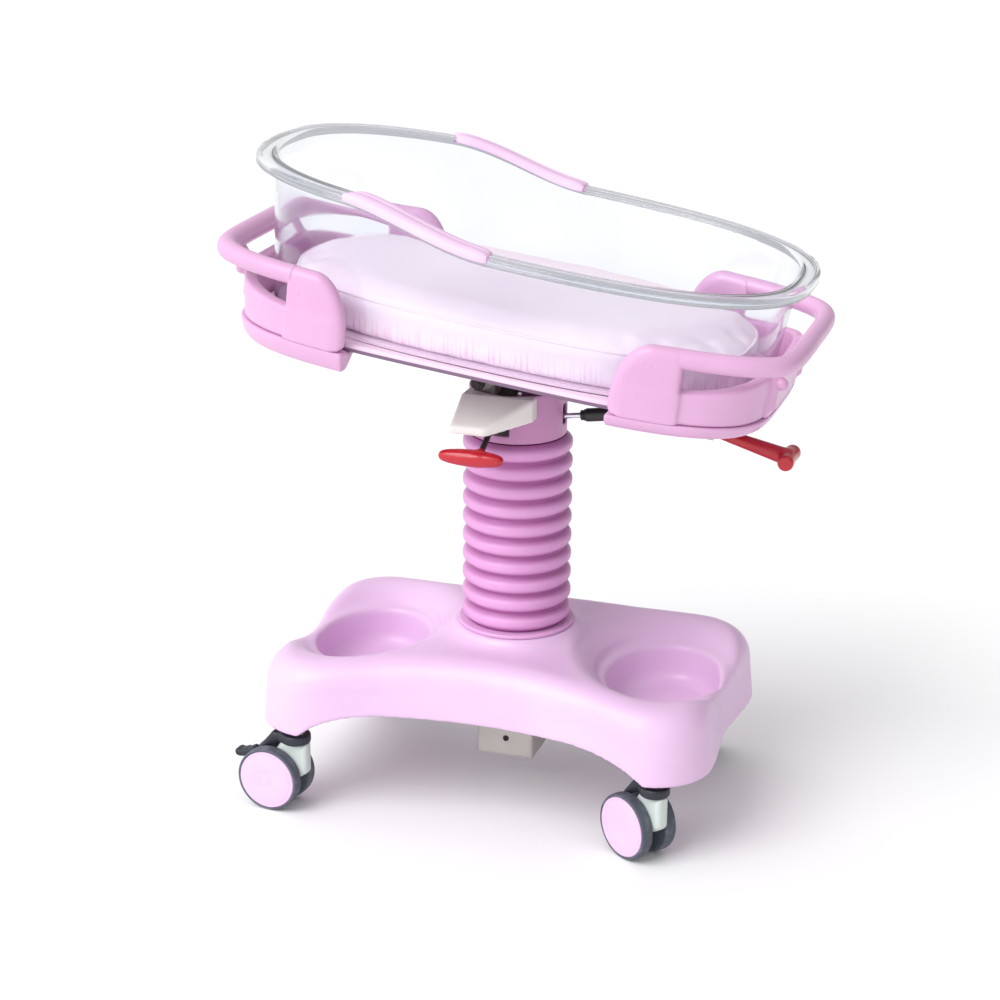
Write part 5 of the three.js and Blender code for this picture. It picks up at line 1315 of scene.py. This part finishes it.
@dataclass
class Deck:
    """Tray, end housings with their chins and handles, and the red grip of the tilt lever."""

    exponent: float = 4.0
    tray_half_length: float = 374.0
    tray_half_width: float = 203.0
    tray_bottom: float = 48.0
    tray_top: float = 60.0
    half_length: float = 400.0
    half_width: float = 237.0
    end_thickness: float = 20.0
    side_thickness: float = 29.0
    draft: float = 7.0
    bottom: float = 51.1
    panel_top: float = 111.1
    block_top: float = 158.1
    block_start: float = 190.0
    slot_start: float = 285.0
    corner_length: float = 55.0
    corner_height: float = 85.0
    panel_end_rise: float = 7.0
    panel_side_fall: float = 14.0
    post_angle: float = math.radians(22)
    post_share: float = 0.3
    post_radius: float = 8.5
    post_lean: float = 23.0
    nub: tuple[float, float, float] = (402.0, 97.0, 103.0)
    nub_radius: float = 9.0
    recess: float = 4.0
    chin_top: float = 50.8
    head_chin: float = 30.0
    foot_chin: float = 20.0
    chin_setback: float = 10.0
    ledge: float = 28.0
    ledge_thickness: float = 5.0
    ledge_top: float = 47.7
    edge_gap: float = 2.0
    handle_half_length: float = 432.0
    handle_half_width: float = 217.0
    handle_flat: float = 14.0
    handle_blend: float = 24.0
    handle_level: float = 144.1
    handle_radius: float = 14.0
    lever_pivot: tuple[float, float, float] = (324.0, 0.0, -16.0)
    lever_slope: float = math.radians(7.6)
    lever_reach: float = 126.0
    bar_half: float = 31.0
    bar_radius: float = 11.8

    def tray(self) -> Mesh:
        """Return the tray: a flat board with softly rounded edges."""
        angles = np.arange(160) * 2 * math.pi / 160
        rings = []
        middle, half = (self.tray_top + self.tray_bottom) / 2, (self.tray_top - self.tray_bottom) / 2
        edge = 3.5
        for turn in np.linspace(-math.pi / 2, math.pi / 2, 9):
            inset = edge * (1 - math.cos(turn))
            level = middle + math.copysign(half - edge, turn) + edge * math.sin(turn)
            plan = oval_points(self.tray_half_length - inset, self.tray_half_width - inset, self.exponent, angles)
            rings.append(np.column_stack([plan, np.full(len(plan), level)]))
        return loft(np.array(rings))

    def outer(self, x: Array, y: Array, z: Array) -> Array:
        """Return the distance from the housings' leaning outer wall."""
        drawn = self.draft * (self.block_top - z) / (self.block_top - self.bottom)
        return oval_distance(x, y, self.half_length - drawn, self.half_width - drawn, self.exponent)

    def panel_level(self, angle: Array) -> Array:
        """Return the end panel's top: highest across the end, falling to its sides beyond the posts."""
        slot = oval_angle_at(self.slot_start, self.half_length, self.exponent)
        side = smoothstep(np.abs(angle), self.post_angle, slot)
        return self.panel_top + self.panel_end_rise - (self.panel_end_rise + self.panel_side_fall) * side

    def post_distance(self, x: Array, y: Array, z: Array) -> Array:
        """Return the distance from the two posts, which lean out from the panel to the handle."""
        drawn = self.end_thickness * self.post_share
        length, width = self.half_length - drawn - 2, self.half_width - self.side_thickness * self.post_share
        foot_x, foot_y = oval_points(length, width, self.exponent, np.array([self.post_angle]))[0]
        aside = np.abs(y) - foot_y
        top = self.handle_level - self.handle_radius * 0.4
        share = np.clip((z - self.panel_top) / (top - self.panel_top), 0, 1)
        lean = foot_x + self.post_lean * share
        rib = np.hypot(x - lean, aside) - self.post_radius
        rib = np.maximum(rib, np.maximum(z - top, self.bottom + 12 - z))
        nub = np.sqrt((x - self.nub[0]) ** 2 + (np.abs(y) - self.nub[1]) ** 2 + (z - self.nub[2]) ** 2)
        return smooth_min(rib, nub - self.nub_radius, 5)

    def housing_distance(self, x: Array, y: Array, z: Array) -> Array:
        """Return the distance from the foot housing: side blocks, end panel, posts and nubs."""
        outer = self.outer(x, y, z)
        inner_length, inner_width = self.half_length - self.end_thickness, self.half_width - self.side_thickness
        inner = oval_distance(x, y, inner_length, inner_width, self.exponent)
        band = smooth_max(outer, -inner, 9)
        band = smooth_max(band, self.bottom - z, 3)
        centre_x, centre_z = self.block_start + self.corner_length, self.block_top - self.corner_height
        rounded = oval_distance(x - centre_x, z - centre_z, self.corner_length, self.corner_height, 2)
        square = np.maximum(self.block_start - x, z - self.block_top)
        profile = np.where((x < centre_x) & (z > centre_z), rounded, square)
        block = smooth_max(smooth_max(band, profile, 18), x - self.slot_start, 7)
        angle = np.arctan2(np.abs(y) / self.half_width, x / self.half_length)
        aside = (self.post_angle + math.radians(2.5) - angle) * self.half_length
        recessed = np.maximum(np.maximum(-outer - self.recess, self.slot_start + 3 - x), aside)
        wall = smooth_max(band, -recessed, 3)
        panel = smooth_max(np.maximum(wall, self.block_start + 20 - x), z - self.panel_level(angle), 7)
        body = smooth_min(block, panel, 4)
        return smooth_min(body, self.post_distance(x, y, z), 7)

    def chin_distance(self, height: float) -> Distance:
        """Return the distance function of the chin under one housing, for its height."""

        def distance(x: Array, y: Array, z: Array) -> Array:
            """Return the distance from the chin."""
            low = self.chin_top - height
            share = np.clip((self.chin_top - z) / height, 0, 1)
            drawn = self.draft + self.chin_setback * share**2
            outer = oval_distance(x, y, self.half_length - drawn, self.half_width - drawn, self.exponent)
            tray = oval_distance(x, y, self.tray_half_length, self.tray_half_width, self.exponent)
            climb = (self.ledge_top - self.ledge_thickness - low) / self.ledge
            floor = low + climb * np.clip(-tray, 0, self.ledge)
            roof = np.where(tray > self.edge_gap, self.chin_top, self.ledge_top)
            body = smooth_max(outer, (floor - z) / math.hypot(1, climb), 7)
            body = np.maximum(body, z - roof)
            body = np.maximum(body, -self.ledge - tray)
            return smooth_max(body, self.block_start - x, 5)

        return distance

    def handle(self, end: End) -> Mesh:
        """Return the handle round one end, a little fuller across the head end."""
        start = oval_angle_at(self.slot_start - 8, self.handle_half_length, self.exponent)
        angles = np.linspace(-start, start, 121)
        plan = oval_points(self.handle_half_length, self.handle_half_width, self.exponent, angles)
        flat = self.handle_half_length - self.handle_flat
        plan[:, 0] = smooth_min(plan[:, 0], np.full(len(plan), flat), self.handle_blend)
        path = np.column_stack([plan, np.full(len(plan), self.handle_level)])
        swell = 2.0 if end is End.HEAD else 0.0
        across = smoothstep(plan[:, 0], self.half_length - 30, flat)
        return sweep(path, self.handle_radius + swell * across, 28)

    def grip_distance(self, x: Array, y: Array, z: Array) -> Array:
        """Return the distance from the tilt lever's red cross grip and sheath."""
        waist = 1.2 * (1 - smoothstep(np.abs(y), 4, self.bar_half - 6))
        bar = np.hypot(x - self.lever_reach, z) - self.bar_radius + waist
        bar = smooth_max(bar, np.abs(y) - self.bar_half, 6)
        start = 16.0
        along = np.clip((x - start) / (self.lever_reach - start), 0, 1)
        from_stem = np.hypot(y, z)
        sheath = smooth_max(from_stem - 8.0 - 4.6 * along, np.maximum(start - x, x - self.lever_reach), 2)
        grip = smooth_min(bar, sheath, 8)
        return np.maximum(grip, np.where(x < self.lever_reach - 8, 4.8 - from_stem, -99))

    def build(self, wardrobe: Wardrobe) -> None:
        """Build and dress the deck."""
        body = Body.DECK.value
        piece = make_piece("deck_tray_board", self.tray(), CRADLE_PLACE, sharp=50)
        wardrobe.dress(piece, TRAY_BOARD, body, "deck_tray")
        low = (self.block_start, -self.half_width, self.bottom)
        high = (self.handle_half_length, self.half_width, self.block_top)
        housing = moulded(self.housing_distance, low, high, 2.6)
        for end, chin_height in ((End.HEAD, self.head_chin), (End.FOOT, self.foot_chin)):
            name = end.name.lower()
            piece = make_piece(f"{name}_housing_moulded", mirrored(housing, end), CRADLE_PLACE, sharp=60)
            wardrobe.dress(piece, PINK_GLOSS, body, f"{name}_housing")
            low = (self.block_start, -self.half_width, self.chin_top - chin_height)
            high = (self.half_length, self.half_width, self.chin_top)
            chin = moulded(self.chin_distance(chin_height), low, high, 2.4, 4)
            piece = make_piece(f"{name}_chin_moulded", mirrored(chin, end), CRADLE_PLACE, sharp=50)
            wardrobe.dress(piece, PINK_GLOSS, body, f"{name}_chin")
            piece = make_piece(f"{name}_handle_bar", mirrored(self.handle(end), end), CRADLE_PLACE)
            wardrobe.dress(piece, PINK_GLOSS, body, f"{name}_handle")
        place = DECK_PLACE @ Matrix.Translation(self.lever_pivot) @ Matrix.Rotation(self.lever_slope, 4, "Y")
        high = (self.lever_reach + self.bar_radius, self.bar_half, self.bar_radius + 1)
        grip = moulded(self.grip_distance, (15, -self.bar_half, -self.bar_radius - 1), high, 1.5, 4)
        piece = make_piece("tilt_lever_grip_moulded", grip, place)
        wardrobe.dress(piece, RED_PLASTIC, Body.TILT_LEVER.value, "tilt_lever_grip")


# Tub and mattress


@dataclass
class Tub:
    """Clear tub with a rolled rim that steps up at the head end, and its two soft rim grips."""

    half_length: float = 408.0
    half_width: float = 246.0
    exponent: float = 2.71
    bottom: float = 60.3
    rim_level: float = 237.3
    flange: float = 25.0
    lip_drop: float = 14.0
    draft: float = 17.0
    wall: float = 4.0
    corner: float = 12.0
    head_rise: float = 36.0
    rim_fall: float = math.tan(math.radians(1.2))
    slope_head: float = -212.0
    slope_foot: float = 8.0
    segments: int = 176
    grip_head: float = -210.0
    grip_foot: float = 6.0
    grip_gap: float = 0.6
    grip_thickness: float = 5.0
    grip_lip: float = 9.0
    grip_stations: int = 60

    def rise(self, x: Array) -> Array:
        """Return how far the rim is raised at a place along the tub."""
        return self.head_rise * (1 - smoothstep(x, self.slope_head, self.slope_foot)) - x * self.rim_fall

    def rim_ring(self, angles: Array, inset: float, below: float) -> Array:
        """Return rim points at an inset from its edge and a depth below its top."""
        plan = oval_points(self.half_length - inset, self.half_width - inset, self.exponent, angles)
        edge = oval_points(self.half_length, self.half_width, self.exponent, angles)
        return np.column_stack([plan, self.rim_level + self.rise(edge[:, 0]) - below])

    def flat_ring(self, angles: Array, inset: float, level: float) -> Array:
        """Return a level ring of the tub at an inset from the rim's edge."""
        plan = oval_points(self.half_length - inset, self.half_width - inset, self.exponent, angles)
        return np.column_stack([plan, np.full(len(angles), level)])

    def half_skin(self, angles: Array, wall: float) -> list[Array]:
        """Return the rings from the floor's middle up to the foot of the rim, for one skin of the wall."""
        foot = self.flange + self.draft + wall
        floor = self.bottom + wall
        rings = [self.flat_ring(angles, foot + self.corner + inset, floor) for inset in (140, 60, 14)]
        for turn in np.linspace(0, math.pi / 2, 9):
            inset = foot + self.corner * (1 - math.sin(turn))
            rings.append(self.flat_ring(angles, inset, floor + self.corner * (1 - math.cos(turn))))
        low = rings[-1]
        high = self.rim_ring(angles, self.flange + wall, self.wall + 4)
        return rings + [low + (high - low) * share for share in np.linspace(0, 1, 9)[1:]]

    def shell(self) -> Mesh:
        """Return the whole tub as one closed skin."""
        angles = np.arange(self.segments) * 2 * math.pi / self.segments
        rings = self.half_skin(angles, 0.0)
        wall, flange = self.wall, self.flange
        section = [(flange - 1.2, wall + 1.2), (flange - 4, wall), (wall + 4, wall), (wall + 1.2, wall + 1.2)]
        section += [(wall, wall + 4), (wall, self.lip_drop - 1.5), (wall - 1.5, self.lip_drop), (1.5, self.lip_drop)]
        section += [(0, self.lip_drop - 1.5)]
        for turn in np.linspace(0, math.pi / 2, 7):
            section.append((6 * (1 - math.cos(turn)), 6 * (1 - math.sin(turn))))
        inner = flange + wall
        for turn in np.linspace(0, math.pi / 2, 7):
            section.append((inner - 6 * (1 - math.sin(turn)), 6 * (1 - math.cos(turn))))
        rings += [self.rim_ring(angles, inset, below) for inset, below in section]
        rings += self.half_skin(angles, wall)[::-1]
        return loft(np.array(rings))

    def grip(self, side: int) -> Mesh:
        """Return one soft grip that caps the sloping stretch of rim, with a groove along its top."""
        first = oval_angle_at(abs(self.grip_head), self.half_length, self.exponent)
        last = oval_angle_at(self.grip_foot, self.half_length, self.exponent)
        angles = np.linspace(math.pi - first, last, self.grip_stations)
        shares = np.linspace(0, 1, self.grip_stations)
        ends = np.minimum(shares, 1 - shares) / 0.12
        fade = np.sqrt(np.clip(1 - (1 - np.clip(ends, 0, 1)) ** 2, 0.02, 1))
        gap, inner = self.grip_gap, self.flange + self.wall
        inside = [(inner + gap, 6.5), (inner + gap, 3.4), (inner - 2, 0.6), (inner - 6, -gap), (12, -gap), (5, -gap)]
        inside += [(1.2, 1.0), (-gap, 4.5), (-gap, self.grip_lip)]
        outside = [(-1.6, 1.1), (-5.0, 0.1), (-5.6, -1.2), (-5.2, -4.4), (-2.2, -5.0), (3, -5.4), (9.5, -5.5)]
        rings = []
        for angle, thin in zip(angles, fade):
            thick = self.grip_thickness * thin
            section = list(inside)
            for turn in np.linspace(0, math.pi / 2, 5):
                section.append((-gap - thick * math.sin(turn) ** 0.8, self.grip_lip + 1.5 * math.cos(turn) - 1.5))
            section += [(-gap - thick, 4.0), (-gap - thick * 0.9, 0.5), (-gap - thick * 0.55, -gap - thick * 0.55)]
            section += [(2.0, -gap - thick * 0.9), (6.0, -gap - thick), (11.0, -gap - thick)]
            section += [(12.4, -gap - thick * 0.72), (13.8, -gap - thick)]
            section += [(20.0, -gap - thick), (inner - 5, -gap - thick * 0.95), (inner - 1, 1.2 - thick * 0.85)]
            section += [(inner + gap + thick * 0.5, 3.0 - thick * 0.3), (inner + gap + thick * 0.55, 5.6)]
            at = np.array([angle])
            rings.append(np.vstack([self.rim_ring(at, inset, below) for inset, below in section]))
        points = np.array(rings)
        points[..., 1] *= side
        return loft(points)

    def build(self, wardrobe: Wardrobe) -> None:
        """Build and dress the tub and its grips."""
        piece = make_piece("tub_clear", self.shell(), CRADLE_PLACE, sharp=70)
        piece.visible_shadow = piece.visible_diffuse = False
        wardrobe.dress(piece, CLEAR_PLASTIC, Body.TUB.value, "tub")
        for name, side in (("near", -1), ("far", 1)):
            piece = make_piece(f"rim_grip_{name}_soft", self.grip(side), CRADLE_PLACE, sharp=60)
            wardrobe.dress(piece, PINK_GRIP, Body.TUB.value, f"rim_grip_{name}")


@dataclass
class Mattress:
    """Padded mattress, swelled by a cloth simulation inside the tub, with piping round its top edge."""

    half_length: float = 357.0
    half_width: float = 197.0
    exponent: float = 2.71
    bottom: float = 64.6
    edge_height: float = 62.0
    crown: float = 12.0
    start_inset: float = 7.0
    start_lower: float = 4.0
    voxel: float = 0.006
    pressure: float = 4.0
    frames: int = 20
    cap: float = 0.009
    evening: int = 10
    tub_half_length: float = 361.0
    tub_half_width: float = 199.0
    tub_corner: float = 12.0
    pleat: float = 0.9
    piping_radius: float = 2.3
    piping_level: float = 119.0

    def pad(self) -> Mesh:
        """Return the pad before it is swelled, a little smaller than it ends."""
        angles = np.arange(144) * 2 * math.pi / 144
        sides = [(30, 0), (14, 0.0), (9, 0.1), (6, 0.25), (3, 0.5), (0, 0.75), (1, 0.9), (5, 1.0)]
        rings = []
        height = self.edge_height - self.start_lower
        for inset, share in sides:
            drawn = inset + self.start_inset
            plan = oval_points(self.half_length - drawn, self.half_width - drawn, self.exponent, angles)
            rings.append(np.column_stack([plan, np.full(len(plan), self.bottom + height * share)]))
        for share, swell in ((0.95, 0.4), (0.9, 0.6), (0.75, 0.8), (0.6, 0.9), (0.4, 0.97), (0.2, 1.0)):
            length = (self.half_length - self.start_inset) * share
            width = (self.half_width - self.start_inset) * share
            plan = oval_points(length, width, self.exponent, angles)
            rings.append(np.column_stack([plan, np.full(len(plan), self.bottom + height + self.crown * swell)]))
        return loft(np.array(rings))

    def swell(self, pad: bpy.types.Object) -> None:
        """Puff the pad up with cloth, pinned where it rests, and hold each point's movement to the cap."""
        remesh = pad.modifiers.new("even faces", "REMESH")
        remesh.mode = "VOXEL"
        remesh.voxel_size = self.voxel
        self.apply(pad)
        rest = self.coordinates(pad)
        level = self.cradle_points(rest)[:, 2]
        group = pad.vertex_groups.new(name="rests on the tub")
        group.add(np.flatnonzero(level < self.bottom + 3).tolist(), 1.0, "REPLACE")
        cloth = pad.modifiers.new("cover", "CLOTH")
        cloth.settings.quality = 5
        cloth.settings.use_pressure = True
        cloth.settings.uniform_pressure_force = self.pressure
        cloth.settings.vertex_group_mass = group.name
        cloth.settings.effector_weights.gravity = 0
        scene = bpy.context.scene
        for step in range(1, self.frames + 1):
            scene.frame_set(step)
        self.apply(pad)
        scene.frame_set(1)
        moved = self.coordinates(pad) - rest
        length = np.linalg.norm(moved, axis=1)[:, None]
        held = rest + moved * np.minimum(1, self.cap / np.maximum(length, 1e-9))
        pad.data.vertices.foreach_set("co", held.astype(np.float32).ravel())
        pad.vertex_groups.clear()
        even = pad.modifiers.new("evened cover", "SMOOTH")
        even.factor, even.iterations = 0.5, self.evening
        self.apply(pad)

    def apply(self, pad: bpy.types.Object) -> None:
        """Turn the pad's modifiers into its mesh."""
        graph = bpy.context.evaluated_depsgraph_get()
        made = bpy.data.meshes.new_from_object(pad.evaluated_get(graph), depsgraph=graph)
        pad.modifiers.clear()
        pad.data = made

    def coordinates(self, pad: bpy.types.Object) -> Array:
        """Return the pad's points in metres."""
        flat = np.zeros(len(pad.data.vertices) * 3, np.float32)
        pad.data.vertices.foreach_get("co", flat)
        return flat.reshape(-1, 3).astype(float)

    def cradle_points(self, points: Array) -> Array:
        """Return points in metres as millimetres in the cradle's frame."""
        turn = np.array(CRADLE_PLACE.inverted())
        return points / MM @ turn[:3, :3].T + turn[:3, 3]

    def settle(self, pad: bpy.types.Object) -> None:
        """Gather the lower side into fine pleats and keep the pad clear of the tub."""
        points = self.cradle_points(self.coordinates(pad))
        angles = np.arctan2(points[:, 1] / self.half_width, points[:, 0] / self.half_length)
        outward = oval_distance(points[:, 0], points[:, 1], self.half_length, self.half_width, self.exponent)
        low = 1 - smoothstep(points[:, 2], self.bottom + 22, self.bottom + 46)
        rim = smoothstep(outward, -40, -14)
        waves = np.sin(angles * 118 + 2 * np.sin(angles * 9)) * np.sin(angles * 41 + 1.0)
        shrink = 1 - self.pleat * (0.5 + 0.5 * waves) * low * rim / self.half_width
        points[:, :2] *= shrink[:, None]
        below = np.clip(self.bottom - 0.3 + self.tub_corner - points[:, 2], 0, self.tub_corner)
        inset = self.tub_corner - np.sqrt(np.maximum(self.tub_corner**2 - below**2, 0))
        limit = oval_distance(
            points[:, 0], points[:, 1], self.tub_half_length - inset, self.tub_half_width - inset, self.exponent
        )
        radius = np.hypot(points[:, 0], points[:, 1])
        points[:, :2] *= (1 - np.maximum(limit, 0) / np.maximum(radius, 1) * 1.05)[:, None]
        points[:, 2] = np.maximum(points[:, 2], self.bottom)
        turn = np.array(CRADLE_PLACE)
        placed = (points @ turn[:3, :3].T + turn[:3, 3]) * MM
        pad.data.vertices.foreach_set("co", placed.astype(np.float32).ravel())
        pad.data.polygons.foreach_set("use_smooth", [True] * len(pad.data.polygons))
        pad.data.update()

    def piping(self, pad: bpy.types.Object) -> Mesh:
        """Return the sewn piping, laid on the pad's own surface round its top edge."""
        turn = np.array(CRADLE_PLACE.inverted())
        tree = BVHTree.FromPolygons(
            [tuple(p) for p in self.cradle_points(self.coordinates(pad))],
            [tuple(face.vertices) for face in pad.data.polygons],
        )
        angles = np.arange(180) * 2 * math.pi / 180
        plan = oval_points(self.half_length + 60, self.half_width + 60, self.exponent, angles)
        path = []
        for x, y in plan:
            start = Vector((x, y, self.piping_level))
            hit = tree.ray_cast(start, Vector((-x, -y, 0)).normalized())[0]
            path.append(hit if hit is not None else Vector((x * 0.8, y * 0.8, self.piping_level)))
        route = np.array(path)
        for _ in range(4):
            route = 0.5 * route + 0.25 * (np.roll(route, 1, axis=0) + np.roll(route, -1, axis=0))
        loop = np.vstack([route, route[:1]])
        points, faces = sweep(loop, np.full(len(loop), self.piping_radius), 10)
        return points, faces

    def build(self, wardrobe: Wardrobe) -> None:
        """Build, swell and dress the mattress."""
        pad = make_piece("mattress_padded", self.pad(), CRADLE_PLACE)
        self.swell(pad)
        self.settle(pad)
        smooth = pad.modifiers.new("soft cover", "SUBSURF")
        smooth.levels = smooth.render_levels = 1
        wardrobe.dress(pad, MATTRESS_COVER, Body.MATTRESS.value, "mattress")
        piece = make_piece("mattress_piping", self.piping(pad), CRADLE_PLACE)
        wardrobe.dress(piece, MATTRESS_COVER, Body.MATTRESS.value)


# Studio


@dataclass
class Studio:
    """Camera at the photograph's place, soft lights and a pale floor."""

    eye: tuple[float, float, float] = (0.9970, -3.2332, 1.6524)
    azimuth: float = math.radians(17.79)
    elevation: float = math.radians(19.43)
    roll: float = math.radians(0.43)
    lens: float = 87.18
    sensor: float = 36.0
    floor_size: float = 60.0
    sky_way: tuple[float, float, float] = (-0.8, -0.6, 0.0)
    backdrop: float = 1.0
    sky_bright: float = 1.38
    sky_dim: float = 0.24
    key_way: tuple[float, float, float] = (0.37, 0.6, -0.71)
    key_strength: float = 1.6
    key_angle: float = math.radians(40)

    def build(self, wardrobe: Wardrobe) -> None:
        """Set the camera, the lights and the floor."""
        self.set_camera()
        self.set_lights()
        half = self.floor_size / 2
        steps = np.linspace(-half, half, 9) / MM
        rows = np.array([[(x, y, 0.0) for x in steps] for y in steps])
        floor = make_piece("floor", loft(rows, closed=False, capped=False), Matrix.Identity(4))
        wardrobe.paint(floor, FLOOR_PALE)

    def set_camera(self) -> None:
        """Make the camera that the photograph was fitted with."""
        data = bpy.data.cameras.new("camera")
        data.lens, data.sensor_width, data.sensor_fit = self.lens, self.sensor, "HORIZONTAL"
        data.clip_end = 200
        camera = bpy.data.objects.new("camera", data)
        bpy.context.scene.collection.objects.link(camera)
        sin, cos = math.sin(self.azimuth), math.cos(self.azimuth)
        level = math.cos(self.elevation)
        back = Vector((sin * level, -cos * level, math.sin(self.elevation)))
        right = Vector((cos, sin, 0))
        up = back.cross(right)
        tilted = right * math.cos(self.roll) + up * math.sin(self.roll)
        upright = up * math.cos(self.roll) - right * math.sin(self.roll)
        turn = Matrix((tilted, upright, back)).transposed().to_4x4()
        camera.matrix_world = Matrix.Translation(self.eye) @ turn
        bpy.context.scene.camera = camera

    def set_lights(self) -> None:
        """Make a white sky, brightest at the front of the head side, and a broad distant lamp from there."""
        world = bpy.data.worlds.new("studio sky")
        world.use_nodes = True
        tree = world.node_tree
        sky = tree.nodes["Background"]
        sky.inputs["Color"].default_value = (1, 1, 1, 1)
        way = tree.nodes.new("ShaderNodeTexCoord")
        toward = tree.nodes.new("ShaderNodeVectorMath")
        toward.operation = "DOT_PRODUCT"
        toward.inputs[1].default_value = self.sky_way
        ramp = tree.nodes.new("ShaderNodeMapRange")
        for name, value in (("From Min", -1), ("From Max", 1), ("To Min", self.sky_dim), ("To Max", self.sky_bright)):
            ramp.inputs[name].default_value = value
        tree.links.new(way.outputs["Generated"], toward.inputs[0])
        tree.links.new(toward.outputs["Value"], ramp.inputs["Value"])
        path = tree.nodes.new("ShaderNodeLightPath")
        plain = tree.nodes.new("ShaderNodeMix")
        plain.inputs["B"].default_value = self.backdrop
        tree.links.new(path.outputs["Is Camera Ray"], plain.inputs["Factor"])
        tree.links.new(ramp.outputs[0], plain.inputs["A"])
        tree.links.new(plain.outputs[0], sky.inputs["Strength"])
        bpy.context.scene.world = world
        bpy.context.scene.view_settings.view_transform = "Standard"
        data = bpy.data.lights.new("key lamp", "SUN")
        data.energy, data.angle = self.key_strength, self.key_angle
        lamp = bpy.data.objects.new("key lamp", data)
        bpy.context.scene.collection.objects.link(lamp)
        lamp.rotation_euler = Vector(self.key_way).to_track_quat("-Z", "Y").to_euler()


# Plain solids that stay in sight


@dataclass
class Ironwork:
    """Steel pieces whose solids are right as they are: they get a finish and broken edges."""

    edge: float = 0.0007
    edge_turn: float = math.radians(35)

    def finishes(self) -> dict[Finish, tuple[str, ...]]:
        """Return which solids take which finish."""
        return {
            PAINTED_STEEL: (
                "frame_spine",
                "frame_crossbar_head",
                "frame_crossbar_foot",
                "column_outer_tube",
                "head_bracket",
                "tilt_spring_lug",
                "deck_hinge_bracket",
                "tilt_release_bracket",
            ),
            CHROME: ("column_inner_tube", "lift_spring_rod"),
            BLACK_PAINT: ("guide_bush", "lift_spring_cylinder"),
            DARK_STEEL: ("height_lever_pin", "height_lever", "tilt_lever"),
        }

    def build(self, wardrobe: Wardrobe) -> None:
        """Dress the solids."""
        for finish, names in self.finishes().items():
            for name in names:
                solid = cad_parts[name]
                wardrobe.paint(solid, finish)
                bevel = solid.modifiers.new("broken edges", "BEVEL")
                bevel.width, bevel.segments = self.edge, 2
                bevel.limit_method, bevel.angle_limit = "ANGLE", self.edge_turn
                log.info("%s keeps its solid", name)


def casters() -> list[Caster]:
    """Return the four casters where they stand."""
    head, foot, side = BASE_SHIFT - 276.0, BASE_SHIFT + 276.0, 191.0
    return [
        Caster("head_near", head, -side, 174, True),
        Caster("foot_near", foot, -side, 145, False),
        Caster("head_far", head, side, 172, False),
        Caster("foot_far", foot, side, 186, True),
    ]


def main() -> None:
    """Build the studio and the bassinet's sub-assemblies in order."""
    logging.basicConfig(level=logging.INFO, format="%(message)s")
    wardrobe = Wardrobe()
    assemblies = [Studio(), Base(), *casters(), Column(), LiftHead(), TiltSpring(), Deck(), Tub(), Mattress(), Ironwork()]
    for assembly in assemblies:
        assembly.build(wardrobe)
        log.info("%s is built", type(assembly).__name__)


if __name__ == "__main__":
    main()
